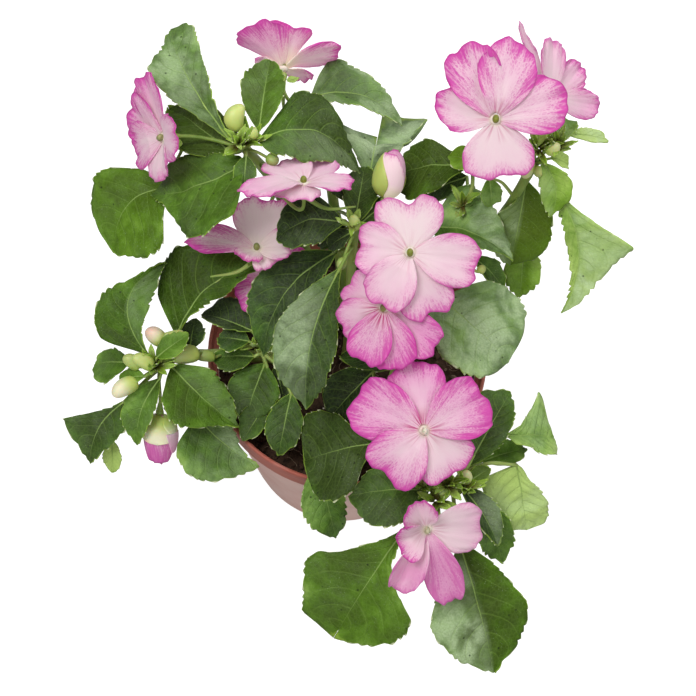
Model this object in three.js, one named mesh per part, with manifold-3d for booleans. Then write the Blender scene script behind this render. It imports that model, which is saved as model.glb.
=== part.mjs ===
// A busy lizzie (Impatiens walleriana) in a plain nursery pot, in millimetres, +Z up.
// The origin is the centre of the pot's flat base. Each stem with its leaves, stalks and green
// buds is one solid, because it grew as one. Each open bloom is a ring of petals that sits just
// clear of its calyx, and so do the two buds that show colour.
import * as THREE from "three";
import { mergeVertices } from "three/addons/utils/BufferGeometryUtils.js";
import Module from "manifold-3d";

const wasm = await Module();
wasm.setup();

// ---- driving dimensions ----------------------------------------------------------------------
const clearance = 0.3; // gap left where one solid rests in or on another
const pot = {
  top: 110, // across the rim
  foot: 82, // across the base
  height: 95,
  wall: 1.6,
  floor: 2.4,
  rimDrop: 7, // depth of the rim's outer band
  rimStep: 1.5, // how far the rim stands out past the body
  drainRing: 27, // radius of the ring of drain holes
  drainHole: 3.5, // radius of one drain hole
  drainCount: 5,
  drainSides: 8,
  segments: 32,
};
const soil = {
  level: 83,
  dome: 2,
  lump: 0.8,
  spokes: 18,
  rings: [0.4, 0.74, 1], // rings of the lumpy top, as shares of its radius
  holeDepth: 14,
  holeSides: 8,
};
const blade = { thick: 0.8, tooth: 0.05, toothPitch: 8 };
const petiole = { wide: 2, step: 14, into: 1.2, thin: 0.6, foldsBelow: 0.3 };
const stem = { foot: 3.3, end: 2.2, sides: 6, step: 13, skin: 1.1 };
const petal = {
  thick: 0.8,
  edge: 5, // places along each margin
  claw: 2, // how many of them are on the narrow root
  ruffle: 0.3,
  wave: 0.2,
  cup: 0.4, // how far the margins rise
  notch: 0.07,
  layer: 1.3, // from one petal to the one that lies over it
  apart: 6, // how far from the heart that distance is reached
  taper: [0.8, 0.4],
};
const hub = { radius: 2.6, back: 1.5, front: 2.3 };
const stalk = { start: 1.1, end: 0.9, sides: 3, step: 10 };
const calyx = { front: 2.0, back: 0.9, long: 5, sides: 6 };
const spur = { long: 22, start: 1.0, end: 0.6, sides: 3, step: 7 };
const bud = { sides: 6, stalk: 0.9 };

const colour = { leaf: 0x4a7a2f, petal: 0xe79ad0, deep: 0xc03a96, pot: 0xb9735f, peat: 0x33251f };

// ---- what grows where ------------------------------------------------------------------------
// A leaf runs from base to tip. left and right are the reach of its two halves, seen from above
// with the tip pointing away. sway bows its midrib to the left, arch lifts the midrib, rise lifts
// the left and right margins, belly is where it is widest, and from is where on the stem it grows.
// A bloom's petals are [turn, long, wide, lift]: turn is clockwise from straight up as seen from
// the front, and lift closes the petal forward, both in degrees. curl swings its spur about.
const stems = {
  stem_back_left: {
    path: [[-10, 10, 69.3], [-10, 10, 87], [-19, 31, 115], [-33, 42, 150], [-42, 35, 184]],
    leaves: [
      { base: [-47, 38, 183], tip: [-73, 85, 178], left: 10, right: 9, sway: 4, arch: 6, belly: 0.6 },
      { base: [-46, 36, 176], tip: [-72, 60, 164], left: 13, right: 8, arch: 3, belly: 0.42 },
      { base: [-43, 30, 181], tip: [-75, 26, 161], left: 12, right: 14, sway: 6, arch: 4, belly: 0.42 },
      { base: [-68, 30, 160], tip: [-88, 13, 138], left: 18, right: 18, sway: -7, arch: 4, from: 0.82 },
      { base: [-38, 41, 185], tip: [-37, 71, 184], left: 8, right: 7, arch: 3, rise: [3, 1] },
      { base: [-36, 37, 185], tip: [-2, 38, 168], left: 17, right: 11, sway: 8, arch: 4, belly: 0.42 },
      { base: [-40, 31, 183], tip: [-40, 22, 177], left: 4, right: 4, arch: 1 },
    ],
    buds: [
      { base: [-47, 37, 188], tip: [-47, 45, 194], wide: 8 },
      { base: [-40, 36, 188], tip: [-38, 38, 192], wide: 4 },
      { base: [-34, 34, 181], tip: [-31, 31, 181], wide: 4 },
    ],
    blooms: {
      bloom_far_left: {
        at: [-70, 36, 183],
        face: [-0.82, -0.28, 0.5],
        from: 0.93,
        petals: [
          [-35, 24, 19, 12],
          [40, 21, 17, 18],
          [120, 15, 16, 18],
          [-155, 17, 18, 10],
          [-100, 19, 17, 10],
        ],
      },
      bloom_left_upper: {
        at: [-20, 22, 186],
        curl: -90,
        face: [-0.07, 0.6, 0.8],
        from: 0.82,
        petals: [[-155, 15, 18, 2], [-74, 17, 17, 2], [24, 15, 17, 0], [68, 22, 18, 0], [140, 16, 18, 3]],
      },
      bloom_left_lower: {
        at: [-35, 9.5, 156],
        curl: 100,
        face: [-0.05, 0.27, 0.96],
        from: 0.66,
        petals: [[-172, 19, 19, 4], [-108, 16, 16, 3], [-42, 13, 15, 0], [25, 11, 12, 0], [92, 26, 17, 2]],
      },
    },
  },
  stem_back: {
    path: [[-2, 17, 69.3], [-2, 17, 87], [-6, 34, 112], [-12, 52, 138], [-17, 63, 154]],
    leaves: [
      { base: [-19, 73, 160], tip: [14, 70, 150], left: 15, right: 4, sway: 5, arch: 4, belly: 0.35 },
      { base: [3, 42, 160], tip: [5, 72, 147], left: 18, right: 18, arch: 4, belly: 0.72, rise: [12, 12] },
    ],
    blooms: {
      bloom_back: {
        at: [-30, 79, 168],
        face: [-0.08, 0.98, 0.16],
        petals: [[0, 17, 19, 52], [70, 22, 18, 27], [142, 13, 14, 30], [-142, 14, 14, 24], [-76, 22, 17, 16]],
      },
    },
    colourBuds: {
      bud_egg: { base: [9, 29, 166], tip: [10, 42, 176], wide: 14, from: 0.62 },
    },
  },
  stem_back_right: {
    path: [[13, 9, 69.3], [13, 9, 87], [23, 22, 112], [42, 37, 146], [60, 39, 182]],
    leaves: [
      { base: [62, 37, 184], tip: [67, 24, 170], left: 6, right: 6, sway: 3, arch: 1 },
      { base: [57, 35, 176], tip: [53, 11, 156], left: 14, right: 8, arch: 5, rise: [-2, 3] },
      { base: [60, 22, 158], tip: [62, 6, 142], left: 7, right: 7, arch: 2, from: 0.85 },
      {
        base: [70, 30, 174], tip: [76, 1, 142],
        left: 15, right: 5, sway: 6, arch: 2, belly: 0.44, rise: [4, -3],
      },
      { base: [73, 46, 184], tip: [86, 50, 177], left: 3.5, right: 3.5, arch: 1 },
      { base: [64, 43, 185], tip: [75, 51, 182], left: 4, right: 4, arch: 1 },
      { base: [58, 42, 188], tip: [57, 49, 193], left: 3, right: 3, arch: 0.5 },
      { base: [65, 40, 183], tip: [72, 41, 177], left: 3.5, right: 3.5, arch: 1 },
      { base: [50, 36, 172], tip: [52, 30, 163], left: 4, right: 4, arch: 1, from: 0.85 },
      { base: [46, 37, 178], tip: [30, 44, 172], left: 6, right: 6, arch: 2 },
    ],
    buds: [
      { base: [58, 38, 182], tip: [55, 34, 187], wide: 5.5 },
      { base: [63, 42, 189], tip: [65, 43, 194], wide: 5.5 },
      { base: [61, 37, 181], tip: [61, 33, 182], wide: 4.5 },
    ],
    blooms: {
      bloom_right_front: {
        at: [43, 41, 202],
        face: [0, -0.41, 0.91],
        petals: [[7, 28, 20, 1], [68, 26, 20, 2], [174, 20, 23, 0], [-76, 23, 15, 2], [-28, 28, 18, 2]],
      },
      bloom_right_back: {
        at: [63, 61, 187],
        face: [0.5, -0.32, 0.81],
        petals: [[-8, 20, 15, 4], [48, 20, 14, 2], [105, 24, 15, 0], [180, 14, 14, 0], [-60, 22, 8, 12]],
      },
    },
  },
  stem_right: {
    path: [[20, -3, 69.3], [20, -3, 87], [27, 8, 112], [32, 20, 140], [36, 29, 160]],
    leaves: [
      { base: [39, 44, 169], tip: [12, 43, 159], left: 13, right: 13, arch: 3, belly: 0.66 },
      { base: [38, 44, 160], tip: [23, 40, 148], left: 6, right: 6, arch: 2 },
      { base: [26, 25, 155], tip: [59, 19, 144], left: 11, right: 10, sway: 2, arch: 4, rise: [2, 0] },
      { base: [43, 17, 149], tip: [56, 11, 138], left: 4.5, right: 4.5, arch: 1, from: 0.8 },
      { base: [28, 2, 148], tip: [61, -20, 136], left: 19, right: 21, arch: 3, belly: 0.52, from: 0.72 },
    ],
    buds: [{ base: [43, 14, 150], tip: [46, 10, 152], wide: 3.6, from: 0.8 }],
    blooms: {
      bloom_centre_upper: {
        at: [18, -2, 184],
        face: [0.02, -0.4, 0.92],
        from: 0.85,
        petals: [[-3, 20, 23, 0], [99, 25, 19, 1], [158, 24, 20, 0], [-148, 21, 19, 2], [-86, 18, 19, 2]],
      },
    },
  },
  stem_middle: {
    path: [[0, 3, 69.3], [0, 3, 87], [1, 6, 112], [-1, 10, 142], [-1, 15, 168]],
    leaves: [
      { base: [-5, 15, 171], tip: [-28, 10, 164], left: 10, right: 11, sway: -2, arch: 4, belly: 0.52 },
      { base: [-2, 14, 166], tip: [-10, 11, 158], left: 4, right: 4, arch: 1 },
      { base: [-4, 18, 162], tip: [-14, 15, 152], left: 4.5, right: 4.5, arch: 1 },
      { base: [-3, 18, 160], tip: [8, 20, 146], left: 4, right: 6, arch: 2 },
      { base: [-3, 28, 163], tip: [-12, 40, 160], left: 4, right: 4, arch: 1 },
      {
        base: [-7, 10, 158], tip: [-31, -21, 132],
        left: 9, right: 12, sway: -6, arch: 2, belly: 0.5, from: 0.88,
      },
      {
        base: [-5, 0, 165], tip: [-13, -44, 141],
        left: 9, right: 14, sway: -3, arch: 8, belly: 0.56, from: 0.9,
      },
    ],
    buds: [
      { base: [-2, 15, 171], tip: [-2, 13, 176], wide: 4.5 },
      { base: [-5, 8, 160], tip: [-5, 5, 163], wide: 4 },
    ],
    blooms: {
      bloom_centre_lower: {
        at: [11, -17, 172],
        face: [-0.15, -0.52, 0.84],
        from: 0.8,
        layers: [0, 1, 2, 1, 0],
        petals: [[120, 23, 16, 0], [160, 22, 18, 1], [-166, 22, 17, 2], [-122, 19, 18, 1], [-64, 16, 17, 0]],
      },
    },
  },
  stem_inner_left: {
    path: [[-13, -11, 69.3], [-13, -11, 87], [-20, -12, 98], [-33, -12, 117]],
    leaves: [
      { base: [-37, -11, 122], tip: [-49, -9, 118], left: 6, right: 5, arch: 1 },
      { base: [-35, -19, 115], tip: [-50, -18, 112], left: 6, right: 3, arch: 1 },
      { base: [-36, -8, 125], tip: [-56, -1, 121], left: 4, right: 9, arch: 2 },
      { base: [-27, -14, 107], tip: [-22, -27, 100], left: 4, right: 4, arch: 1 },
      { base: [-31, -15, 111], tip: [-37, -34, 99], left: 10, right: 10, arch: 2 },
      { base: [-20, -26, 110], tip: [-23, -46, 96], left: 7, right: 7, arch: 2 },
      { base: [-29, -27, 101], tip: [-37, -42, 99], left: 5, right: 6, arch: 1 },
    ],
    blooms: {
      bloom_hidden: {
        at: [-28, 10, 130],
        face: [0.05, 0.1, 0.99],
        petals: [[-130, 19, 17, 2], [-55, 17, 17, 0], [30, 17, 15, -2], [92, 16, 16, 0], [160, 17, 17, 4]],
      },
    },
  },
  stem_left: {
    path: [[-22, -2, 69.3], [-22, -2, 87], [-35, -8, 101], [-50, -12, 109], [-62, -16, 115], [-69, -25, 122]],
    leaves: [
      {
        base: [-61, -13, 130], tip: [-30, 11, 144],
        left: 19, right: 8, sway: 6, arch: 4, belly: 0.42, rise: [0, -5],
      },
      { base: [-73, -20, 128], tip: [-69, 11, 138], left: 11, right: 7, sway: 10, arch: 4, belly: 0.42 },
      { base: [-69, -24, 130], tip: [-58, -15, 133], left: 4, right: 5, arch: 1 },
      { base: [-80, -22, 119], tip: [-95, -21, 112], left: 11, right: 5, arch: 1, belly: 0.5 },
      { base: [-73, -30, 126], tip: [-83, -30, 120], left: 3.5, right: 3.5, arch: 1 },
      { base: [-68, -29, 122], tip: [-75, -50, 107], left: 5, right: 7, sway: -2, arch: 3 },
      {
        base: [-82, -34, 109], tip: [-94, -54, 93],
        left: 6, right: 12, sway: -3, arch: 2, belly: 0.5, rise: [0, 4],
      },
      { base: [-87, -44, 94], tip: [-86, -54, 84], left: 3.5, right: 3.5, arch: 1, from: 0.9 },
      { base: [-64, -24, 123], tip: [-38, -41, 111], left: 12, right: 13, sway: -2, arch: 4, belly: 0.45 },
      {
        base: [-53, -37, 104], tip: [-37, -53, 93],
        left: 10, right: 14, sway: -2, arch: 2, belly: 0.45, from: 0.85,
      },
      { base: [-59, -14, 117], tip: [-58, -3, 121], left: 5, right: 5, arch: 1, from: 0.8 },
    ],
    buds: [
      { base: [-69, -21, 126], tip: [-72, -13, 131], wide: 5.5 },
      { base: [-66, -19, 125], tip: [-65, -11, 130], wide: 5.5 },
      { base: [-74, -26, 124], tip: [-82, -24, 126], wide: 5.5 },
      { base: [-72, -24, 126], tip: [-77, -23, 131], wide: 4.5 },
      { base: [-75, -31, 121], tip: [-84, -37, 122], wide: 6 },
    ],
    colourBuds: {
      bud_opening: { base: [-68, -38, 109], tip: [-68, -53, 97], wide: 12 },
    },
  },
  stem_front: {
    path: [[0, -15, 69.3], [0, -15, 87], [4, -23, 101], [9, -32, 117]],
    leaves: [
      { base: [10, -18, 119], tip: [-5, -34, 107], left: 10, right: 10, arch: 2 },
      { base: [17, -17, 121], tip: [-3, -10, 113], left: 5, right: 5, arch: 2 },
      { base: [15, -44, 115], tip: [-13, -49, 102], left: 17, right: 19, arch: 3, belly: 0.6 },
      { base: [-8, -50, 99], tip: [1, -72, 81], left: 7, right: 10, arch: 2, from: 0.8 },
    ],
  },
  stem_front_right: {
    path: [[15, -18, 69.3], [15, -18, 87], [24, -32, 103], [34, -49, 118], [42, -63, 126]],
    leaves: [
      { base: [46, -55, 128], tip: [62, -23, 122], left: 9, right: 7, arch: 3, rise: [2, 0] },
      { base: [60, -41, 124], tip: [79, -36, 113], left: 15, right: 8, arch: 1, belly: 0.64, rise: [4, 3] },
      { base: [52, -49, 117], tip: [69, -40, 110], left: 5, right: 5, arch: 1 },
      { base: [61, -52, 117], tip: [73, -67, 95], left: 11, right: 10, arch: 1 },
      { base: [44, -62, 124], tip: [59, -79, 112], left: 6, right: 4, sway: 1, arch: 2, rise: [1, 2] },
      { base: [54, -63, 110], tip: [63, -80, 95], left: 7, right: 7, arch: 1 },
      { base: [46, -61, 127], tip: [54, -54, 124], left: 3, right: 3, arch: 0.5 },
      { base: [32, -65, 127], tip: [4, -66, 117], left: 14, right: 9, arch: 3 },
      { base: [25, -74, 104], tip: [4, -107, 77], left: 20, right: 22, arch: 3, belly: 0.62, from: 0.93 },
      { base: [46, -77, 106], tip: [63, -118, 81], left: 18, right: 17, arch: 3, belly: 0.52, from: 0.96 },
    ],
    buds: [
      { base: [36, -64, 130], tip: [30, -64, 134], wide: 3.6 },
      { base: [38, -66, 130], tip: [36, -68, 134], wide: 4 },
      { base: [43, -64, 130], tip: [47, -61, 134], wide: 5 },
    ],
    blooms: {
      bloom_front: {
        at: [28, -52, 151],
        face: [0, -0.41, 0.91],
        petals: [[-9, 25, 21, 0], [57, 24, 22, 2], [146, 19, 22, 0], [-138, 22, 21, 2], [-69, 27, 22, 1]],
      },
      bloom_low: {
        at: [32, -80, 130],
        face: [0.08, -0.7, 0.71],
        petals: [[84, 20, 18, 2], [158, 31, 15, 0], [-158, 25, 13, 4], [-90, 12, 13, 12], [-15, 13, 13, 12]],
      },
    },
  },
};

// ---- solids ----------------------------------------------------------------------------------
const up = new THREE.Vector3(0, 0, 1);
const point = (p) => new THREE.Vector3(p[0], p[1], p[2]);
const radians = THREE.MathUtils.degToRad;
const lerp = THREE.MathUtils.lerp;

// A closed geometry becomes a manifold solid.
function solid(geometry) {
  const plain = geometry.clone();
  plain.deleteAttribute("normal");
  plain.deleteAttribute("uv");
  const merged = mergeVertices(plain, 1e-4);
  return new wasm.Manifold(
    new wasm.Mesh({
      numProp: 3,
      vertProperties: new Float32Array(merged.attributes.position.array),
      triVerts: new Uint32Array(merged.index.array),
    })
  );
}

// Joins parts that grow from one another. A crumb of no volume that a join can leave is dropped.
function joined(parts) {
  const whole = parts.reduce((sum, part) => sum.add(part)).setTolerance(0.01);
  return whole.decompose().reduce((most, piece) => (piece.volume() > most.volume() ? piece : most));
}

function node(name, manifold, tint, roughness) {
  const mesh = manifold.getMesh();
  const geometry = new THREE.BufferGeometry();
  geometry.setAttribute("position", new THREE.BufferAttribute(mesh.vertProperties, 3));
  geometry.setIndex(new THREE.BufferAttribute(mesh.triVerts, 1));
  const material = new THREE.MeshStandardMaterial({ color: tint, roughness, metalness: 0 });
  const result = new THREE.Mesh(geometry, material);
  result.name = name;
  return result;
}

function indexed(points, triangles) {
  const geometry = new THREE.BufferGeometry();
  geometry.setAttribute("position", new THREE.Float32BufferAttribute(points.flatMap((p) => p.toArray()), 3));
  geometry.setIndex(triangles.flat());
  return geometry;
}

// A round tube along a curve, tapering from one radius to the other, with closed ends.
function tube(curve, startRadius, endRadius, sides, step) {
  const steps = Math.max(2, Math.round(curve.getLength() / step));
  const frames = curve.computeFrenetFrames(steps, false);
  const points = [];
  const triangles = [];
  for (let i = 0; i <= steps; i++) {
    const centre = curve.getPointAt(i / steps);
    const radius = lerp(startRadius, endRadius, i / steps);
    for (let j = 0; j < sides; j++) {
      const angle = (2 * Math.PI * j) / sides;
      const spoke = frames.normals[i].clone().multiplyScalar(Math.cos(angle) * radius);
      spoke.addScaledVector(frames.binormals[i], Math.sin(angle) * radius);
      points.push(centre.clone().add(spoke));
    }
  }
  for (let i = 0; i < steps; i++) {
    for (let j = 0; j < sides; j++) {
      const a = i * sides + j;
      const b = i * sides + ((j + 1) % sides);
      triangles.push([a, b, b + sides], [a, b + sides, a + sides]);
    }
  }
  for (let j = 1; j < sides - 1; j++) {
    triangles.push([0, j + 1, j]);
    triangles.push([steps * sides, steps * sides + j, steps * sides + j + 1]);
  }
  return solid(indexed(points, triangles));
}

// A thin closed sheet made of strips. A strip joins two rows, each a list of places
// { at, normal, thick } with as many as it needs, and strips that share places are joined there.
// Both faces are split alike, one thickness apart.
function sheet(strips, thick) {
  const places = [...new Set(strips.flat(2))];
  const idOf = new Map(places.map((place, i) => [place, i]));
  const faces = [];
  const addFace = (...corners) => {
    if (new Set(corners).size === 3) faces.push(corners.map((place) => idOf.get(place)));
  };
  for (const [one, two] of strips) {
    let i = 0;
    let j = 0;
    while (i < one.length - 1 || j < two.length - 1) {
      const stepOne = (i + 1) / (one.length - 1);
      const stepTwo = (j + 1) / (two.length - 1);
      if (j === two.length - 1 || (i < one.length - 1 && stepOne <= stepTwo)) {
        addFace(one[i], two[j], one[i + 1]);
        i += 1;
      } else {
        addFace(one[i], two[j], two[j + 1]);
        j += 1;
      }
    }
  }
  const points = [0.5, -0.5].flatMap((side) =>
    places.map((place) => place.at.clone().addScaledVector(place.normal, side * (place.thick ?? thick)))
  );
  const count = places.length;
  const triangles = faces.concat(faces.map(([a, b, c]) => [a + count, c + count, b + count]));
  const edge = new Map();
  faces.forEach(([a, b, c]) => [[a, b], [b, c], [c, a]].forEach(([p, q]) => edge.set(`${p},${q}`, [p, q])));
  for (const [p, q] of edge.values()) {
    if (!edge.has(`${q},${p}`)) triangles.push([q, p, p + count], [q, p + count, q + count]);
  }
  return solid(indexed(points, triangles));
}

// ---- leaves ----------------------------------------------------------------------------------
function leafFrame(leaf) {
  const origin = point(leaf.base);
  const along = point(leaf.tip).sub(origin);
  const length = along.length();
  along.normalize();
  const normal = up.clone().addScaledVector(along, -up.dot(along)).normalize();
  if (leaf.roll) normal.applyAxisAngle(along, radians(leaf.roll));
  const side = new THREE.Vector3().crossVectors(along, normal);
  return { origin, along, normal, side, length };
}

function leafShape(leaf, frame) {
  const { left, right, sway = 0, arch = 2, belly = 0.47, rise = [1, 1] } = leaf;
  const power = 1.6;
  const peak = belly ** (power * belly) * (1 - belly) ** (power * (1 - belly));
  const width = (t) => (t ** (power * belly) * (1 - t) ** (power * (1 - belly))) / peak;
  const middle = (t) => -sway * 4 * t * (1 - t);
  const height = (x, y) => {
    const t = x / frame.length;
    const across = y - middle(t);
    const [reach, lift] = across < 0 ? [left, rise[0]] : [right, rise[1]];
    return arch * 4 * t * (1 - t) + (lift * Math.abs(across)) / reach;
  };
  return { left, right, width, middle, height };
}

// The three rows of a blade, without the root they share: left margin, midrib, right margin.
function bladeRows(leaf, frame, shape) {
  const teeth = THREE.MathUtils.clamp(Math.round(frame.length / blade.toothPitch), 2, 5);
  const place = (t, y) => onBlade(frame, shape, t, y);
  const tip = place(1, 0);
  const margin = (sign, reach) => {
    const row = [];
    for (let i = 1; i < 2 * teeth; i++) {
      const t = i / (2 * teeth);
      const out = i % 2 === 1 ? blade.tooth : -blade.tooth;
      row.push(place(i % 2 === 1 ? t + 0.02 : t, shape.middle(t) + sign * reach * (shape.width(t) + out)));
    }
    return [...row, tip];
  };
  const rib = (teeth > 2 ? [0.25, 0.5, 0.75] : [0.5]).map((t) => place(t, shape.middle(t)));
  return [margin(-1, shape.left), [...rib, tip], margin(1, shape.right)];
}

function onBlade(frame, shape, t, y) {
  const x = t * frame.length;
  const at = frame.origin.clone().addScaledVector(frame.along, x).addScaledVector(frame.side, y);
  return { at: at.addScaledVector(frame.normal, shape.height(x, y)), normal: frame.normal };
}

// The place just under a stem's skin where a stalk bound for a point grows out of it.
function inSkin(stemCurve, from, target) {
  const centre = stemCurve.getPointAt(from);
  const out = target.clone().sub(centre).normalize();
  return centre.addScaledVector(out, lerp(stem.foot, stem.end, from) - stem.skin);
}

// A leaf and its stalk in one sheet: the stalk is a narrow strip that opens into the blade. Where
// the stalk comes from under the blade, it is a thinner strip that ends inside the blade.
function leaf(place, stemCurve) {
  const frame = leafFrame(place);
  const shape = leafShape(place, frame);
  const start = inSkin(stemCurve, place.from ?? 0.97, frame.origin);
  const run = frame.origin.distanceTo(start);
  const early = onBlade(frame, shape, 0.05, shape.middle(0.05)).at.sub(frame.origin).normalize();
  const bend = start.clone().lerp(frame.origin, 0.5);
  bend.addScaledVector(early, -0.12 * run).addScaledVector(up, 0.06 * run);
  const path = new THREE.CatmullRomCurve3([start, bend, frame.origin]);
  const steps = Math.max(1, Math.round(run / petiole.step));
  const rows = bladeRows(place, frame, shape);
  const across = (centre, tangent, near) => {
    const normal = near.clone().addScaledVector(tangent, -near.dot(tangent)).normalize();
    const side = new THREE.Vector3().crossVectors(tangent, normal).multiplyScalar(petiole.wide / 2);
    return [-1, 0, 1].map((reach) => ({ at: centre.clone().addScaledVector(side, reach), normal }));
  };
  const stalkRows = [[], [], []];
  let normal = frame.normal;
  for (let i = steps; i >= 0; i--) {
    const places = across(path.getPoint(i / steps), path.getTangent(i / steps), normal);
    normal = places[0].normal;
    places.forEach((one, r) => stalkRows[r].unshift(one));
  }
  const strips = (three) => [[three[0], three[1]], [three[1], three[2]]];
  if (path.getTangent(1).dot(frame.along) > petiole.foldsBelow) {
    const opening = rows.map((row, r) => [stalkRows[r].at(-1), ...row]);
    return [sheet([...strips(stalkRows), ...strips(opening)], blade.thick)];
  }
  const root = across(frame.origin, early, frame.normal);
  const inside = across(frame.origin.clone().addScaledVector(early, petiole.into), early, frame.normal);
  stalkRows.forEach((row, r) => row.push(inside[r]));
  const opening = rows.map((row, r) => [root[r], ...row]);
  return [sheet(strips(opening), blade.thick), sheet(strips(stalkRows), petiole.thin)];
}

// ---- blooms and buds -------------------------------------------------------------------------
// Neighbouring petals lie one over the other: the layer of each, in the order they are listed,
// where a bloom doesn't give its own.
const petalLayers = [0, 1, 0, 2, 1];

function bloomFrame(bloom) {
  const face = point(bloom.face).normalize();
  const top = up.clone().addScaledVector(face, -up.dot(face)).normalize();
  const right = new THREE.Vector3().crossVectors(top, face);
  return { centre: point(bloom.at), face, top, right };
}

// A petal's width along its length, as a share of its greatest width: a claw at the root, a
// broad round end.
function petalWidth(t) {
  const [root, tip] = petal.taper;
  const widest = root / (root + tip);
  return (t ** root * (1 - t) ** tip) / (widest ** root * (1 - widest) ** tip);
}

// The direction that a turn, clockwise from the top as seen from the front, points in.
function outward(frame, turn) {
  const out = frame.top.clone().multiplyScalar(Math.cos(radians(turn)));
  return out.addScaledVector(frame.right, Math.sin(radians(turn)));
}

// The strips of a petal, left and right of its middle line: at the heart, along its narrow claw
// and over its broad end. The claw starts at the gaps it shares with its neighbours.
function petalStrips([turn, long, wide, lift], frame, layer, heart, gaps) {
  const out = outward(frame, turn);
  const along = out.clone().multiplyScalar(Math.cos(radians(lift)));
  along.addScaledVector(frame.face, Math.sin(radians(lift)));
  const normal = frame.face.clone().multiplyScalar(Math.cos(radians(lift)));
  normal.addScaledVector(out, -Math.sin(radians(lift)));
  const side = new THREE.Vector3().crossVectors(along, normal);
  const place = (x, y) => {
    const raise = layer * petal.layer * Math.min(1, x / petal.apart);
    const cone = (Math.tan(radians(lift)) * y * y) / (2 * x);
    const height = petal.ruffle * Math.sin(petal.wave * x) + 4 * petal.cup * (y / wide) ** 2 + cone;
    const at = frame.centre.clone().addScaledVector(frame.face, raise).addScaledVector(along, x);
    return { at: at.addScaledVector(side, y).addScaledVector(normal, height), normal };
  };
  const [root, waist, tip] = [hub.radius, 0.45 * long, (1 - petal.notch) * long].map((x) => place(x, 0));
  const margin = (sign, gap) => {
    const row = [];
    for (let i = 1; i <= petal.edge; i++) {
      const t = (1 - Math.cos(Math.PI * (i / (petal.edge + 1)) ** 0.75)) / 2;
      const x = lerp(hub.radius, long, t);
      const room = i <= petal.claw ? x * Math.tan(0.47 * gap.spread) : wide;
      row.push(place(x, sign * Math.min(room, (wide * petalWidth(t)) / 2)));
    }
    return [[heart, gap], [gap, ...row.slice(0, petal.claw)], [...row.slice(petal.claw - 1), tip]];
  };
  const middle = [[heart, root], [root, waist], [waist, tip]];
  const left = margin(-1, gaps[0]).map((row, i) => [row, middle[i]]);
  return [...left, ...margin(1, gaps[1]).map((row, i) => [middle[i], row])];
}

// A bloom in one sheet: its petals grow from a thick heart, and each lies over or under the next.
function bloomSolid(bloom) {
  const frame = bloomFrame(bloom);
  const { petals, layers = petalLayers } = bloom;
  const heart = { at: frame.centre.clone().addScaledVector(frame.face, (hub.front - hub.back) / 2) };
  Object.assign(heart, { normal: frame.face, thick: hub.front + hub.back });
  const gaps = petals.map(([turn, , , lift], i) => {
    const [nextTurn, , , nextLift] = petals[(i + 1) % petals.length];
    const spread = (nextTurn - turn + 720) % 360;
    const rise = radians((lift + nextLift) / 2);
    const out = outward(frame, turn + spread / 2);
    const at = frame.centre.clone().addScaledVector(out, hub.radius * Math.cos(rise));
    at.addScaledVector(frame.face, hub.radius * Math.sin(rise));
    return { at, normal: frame.face, spread: radians(spread) };
  });
  const strips = petals.flatMap((row, i) => {
    const before = gaps[(i + petals.length - 1) % petals.length];
    return petalStrips(row, frame, layers[i], heart, [before, gaps[i]]);
  });
  return sheet(strips, petal.thick);
}

function drum(frontRadius, backRadius, long, sides, frontPoint, face) {
  const geometry = new THREE.CylinderGeometry(frontRadius, backRadius, long, sides);
  const turn = new THREE.Quaternion().setFromUnitVectors(new THREE.Vector3(0, 1, 0), face);
  geometry.applyQuaternion(turn);
  const middle = frontPoint.clone().addScaledVector(face, -long / 2);
  geometry.translate(middle.x, middle.y, middle.z);
  return solid(geometry);
}

// The green cup behind a bloom or a coloured bud, with its stalk from the stem.
function cup(front, face, stemCurve, from) {
  const back = front.clone().addScaledVector(face, -calyx.long);
  const start = inSkin(stemCurve, from, back);
  const run = start.distanceTo(back);
  const path = new THREE.CubicBezierCurve3(
    start,
    start.clone().addScaledVector(stemCurve.getTangentAt(from), 0.3 * run),
    back.clone().addScaledVector(face, -0.35 * run),
    front.clone().addScaledVector(face, -0.6 * calyx.long)
  );
  return [
    tube(path, stalk.start, stalk.end, stalk.sides, stalk.step),
    drum(calyx.front, calyx.back, calyx.long, calyx.sides, front, face),
  ];
}

// The thin nectar spur that curls down from behind a bloom.
function spurTube(front, face, curl = 0) {
  const root = front.clone().addScaledVector(face, -0.5 * calyx.long);
  const down = up.clone().negate().addScaledVector(face, face.z).normalize();
  down.applyAxisAngle(face, radians(curl));
  const path = new THREE.CatmullRomCurve3([
    root,
    root.clone().addScaledVector(down, 0.35 * spur.long).addScaledVector(face, -0.22 * spur.long),
    root.clone().addScaledVector(down, 0.8 * spur.long).addScaledVector(face, -0.2 * spur.long),
  ]);
  return tube(path, spur.start, spur.end, spur.sides, spur.step);
}

function budSolid(place) {
  const base = point(place.base);
  const axis = point(place.tip).sub(base);
  const long = axis.length();
  const radius = place.wide / 2;
  const profile = [[0, 0], [0.85 * radius, 0.2 * long], [radius, 0.45 * long], [0, long]];
  const geometry = new THREE.LatheGeometry(profile.map(([x, y]) => new THREE.Vector2(x, y)), bud.sides);
  const turn = new THREE.Quaternion().setFromUnitVectors(new THREE.Vector3(0, 1, 0), axis.normalize());
  geometry.applyQuaternion(turn);
  geometry.translate(base.x, base.y, base.z);
  return solid(geometry);
}

function greenBud(place, stemCurve) {
  const base = point(place.base);
  const start = inSkin(stemCurve, place.from ?? 0.97, base);
  const into = base.clone().lerp(point(place.tip), 0.35);
  const bend = start.clone().lerp(base, 0.5).addScaledVector(up, 0.1 * start.distanceTo(base));
  const path = new THREE.CatmullRomCurve3([start, bend, base, into]);
  return [tube(path, bud.stalk, bud.stalk, stalk.sides, stalk.step), budSolid(place)];
}

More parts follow.
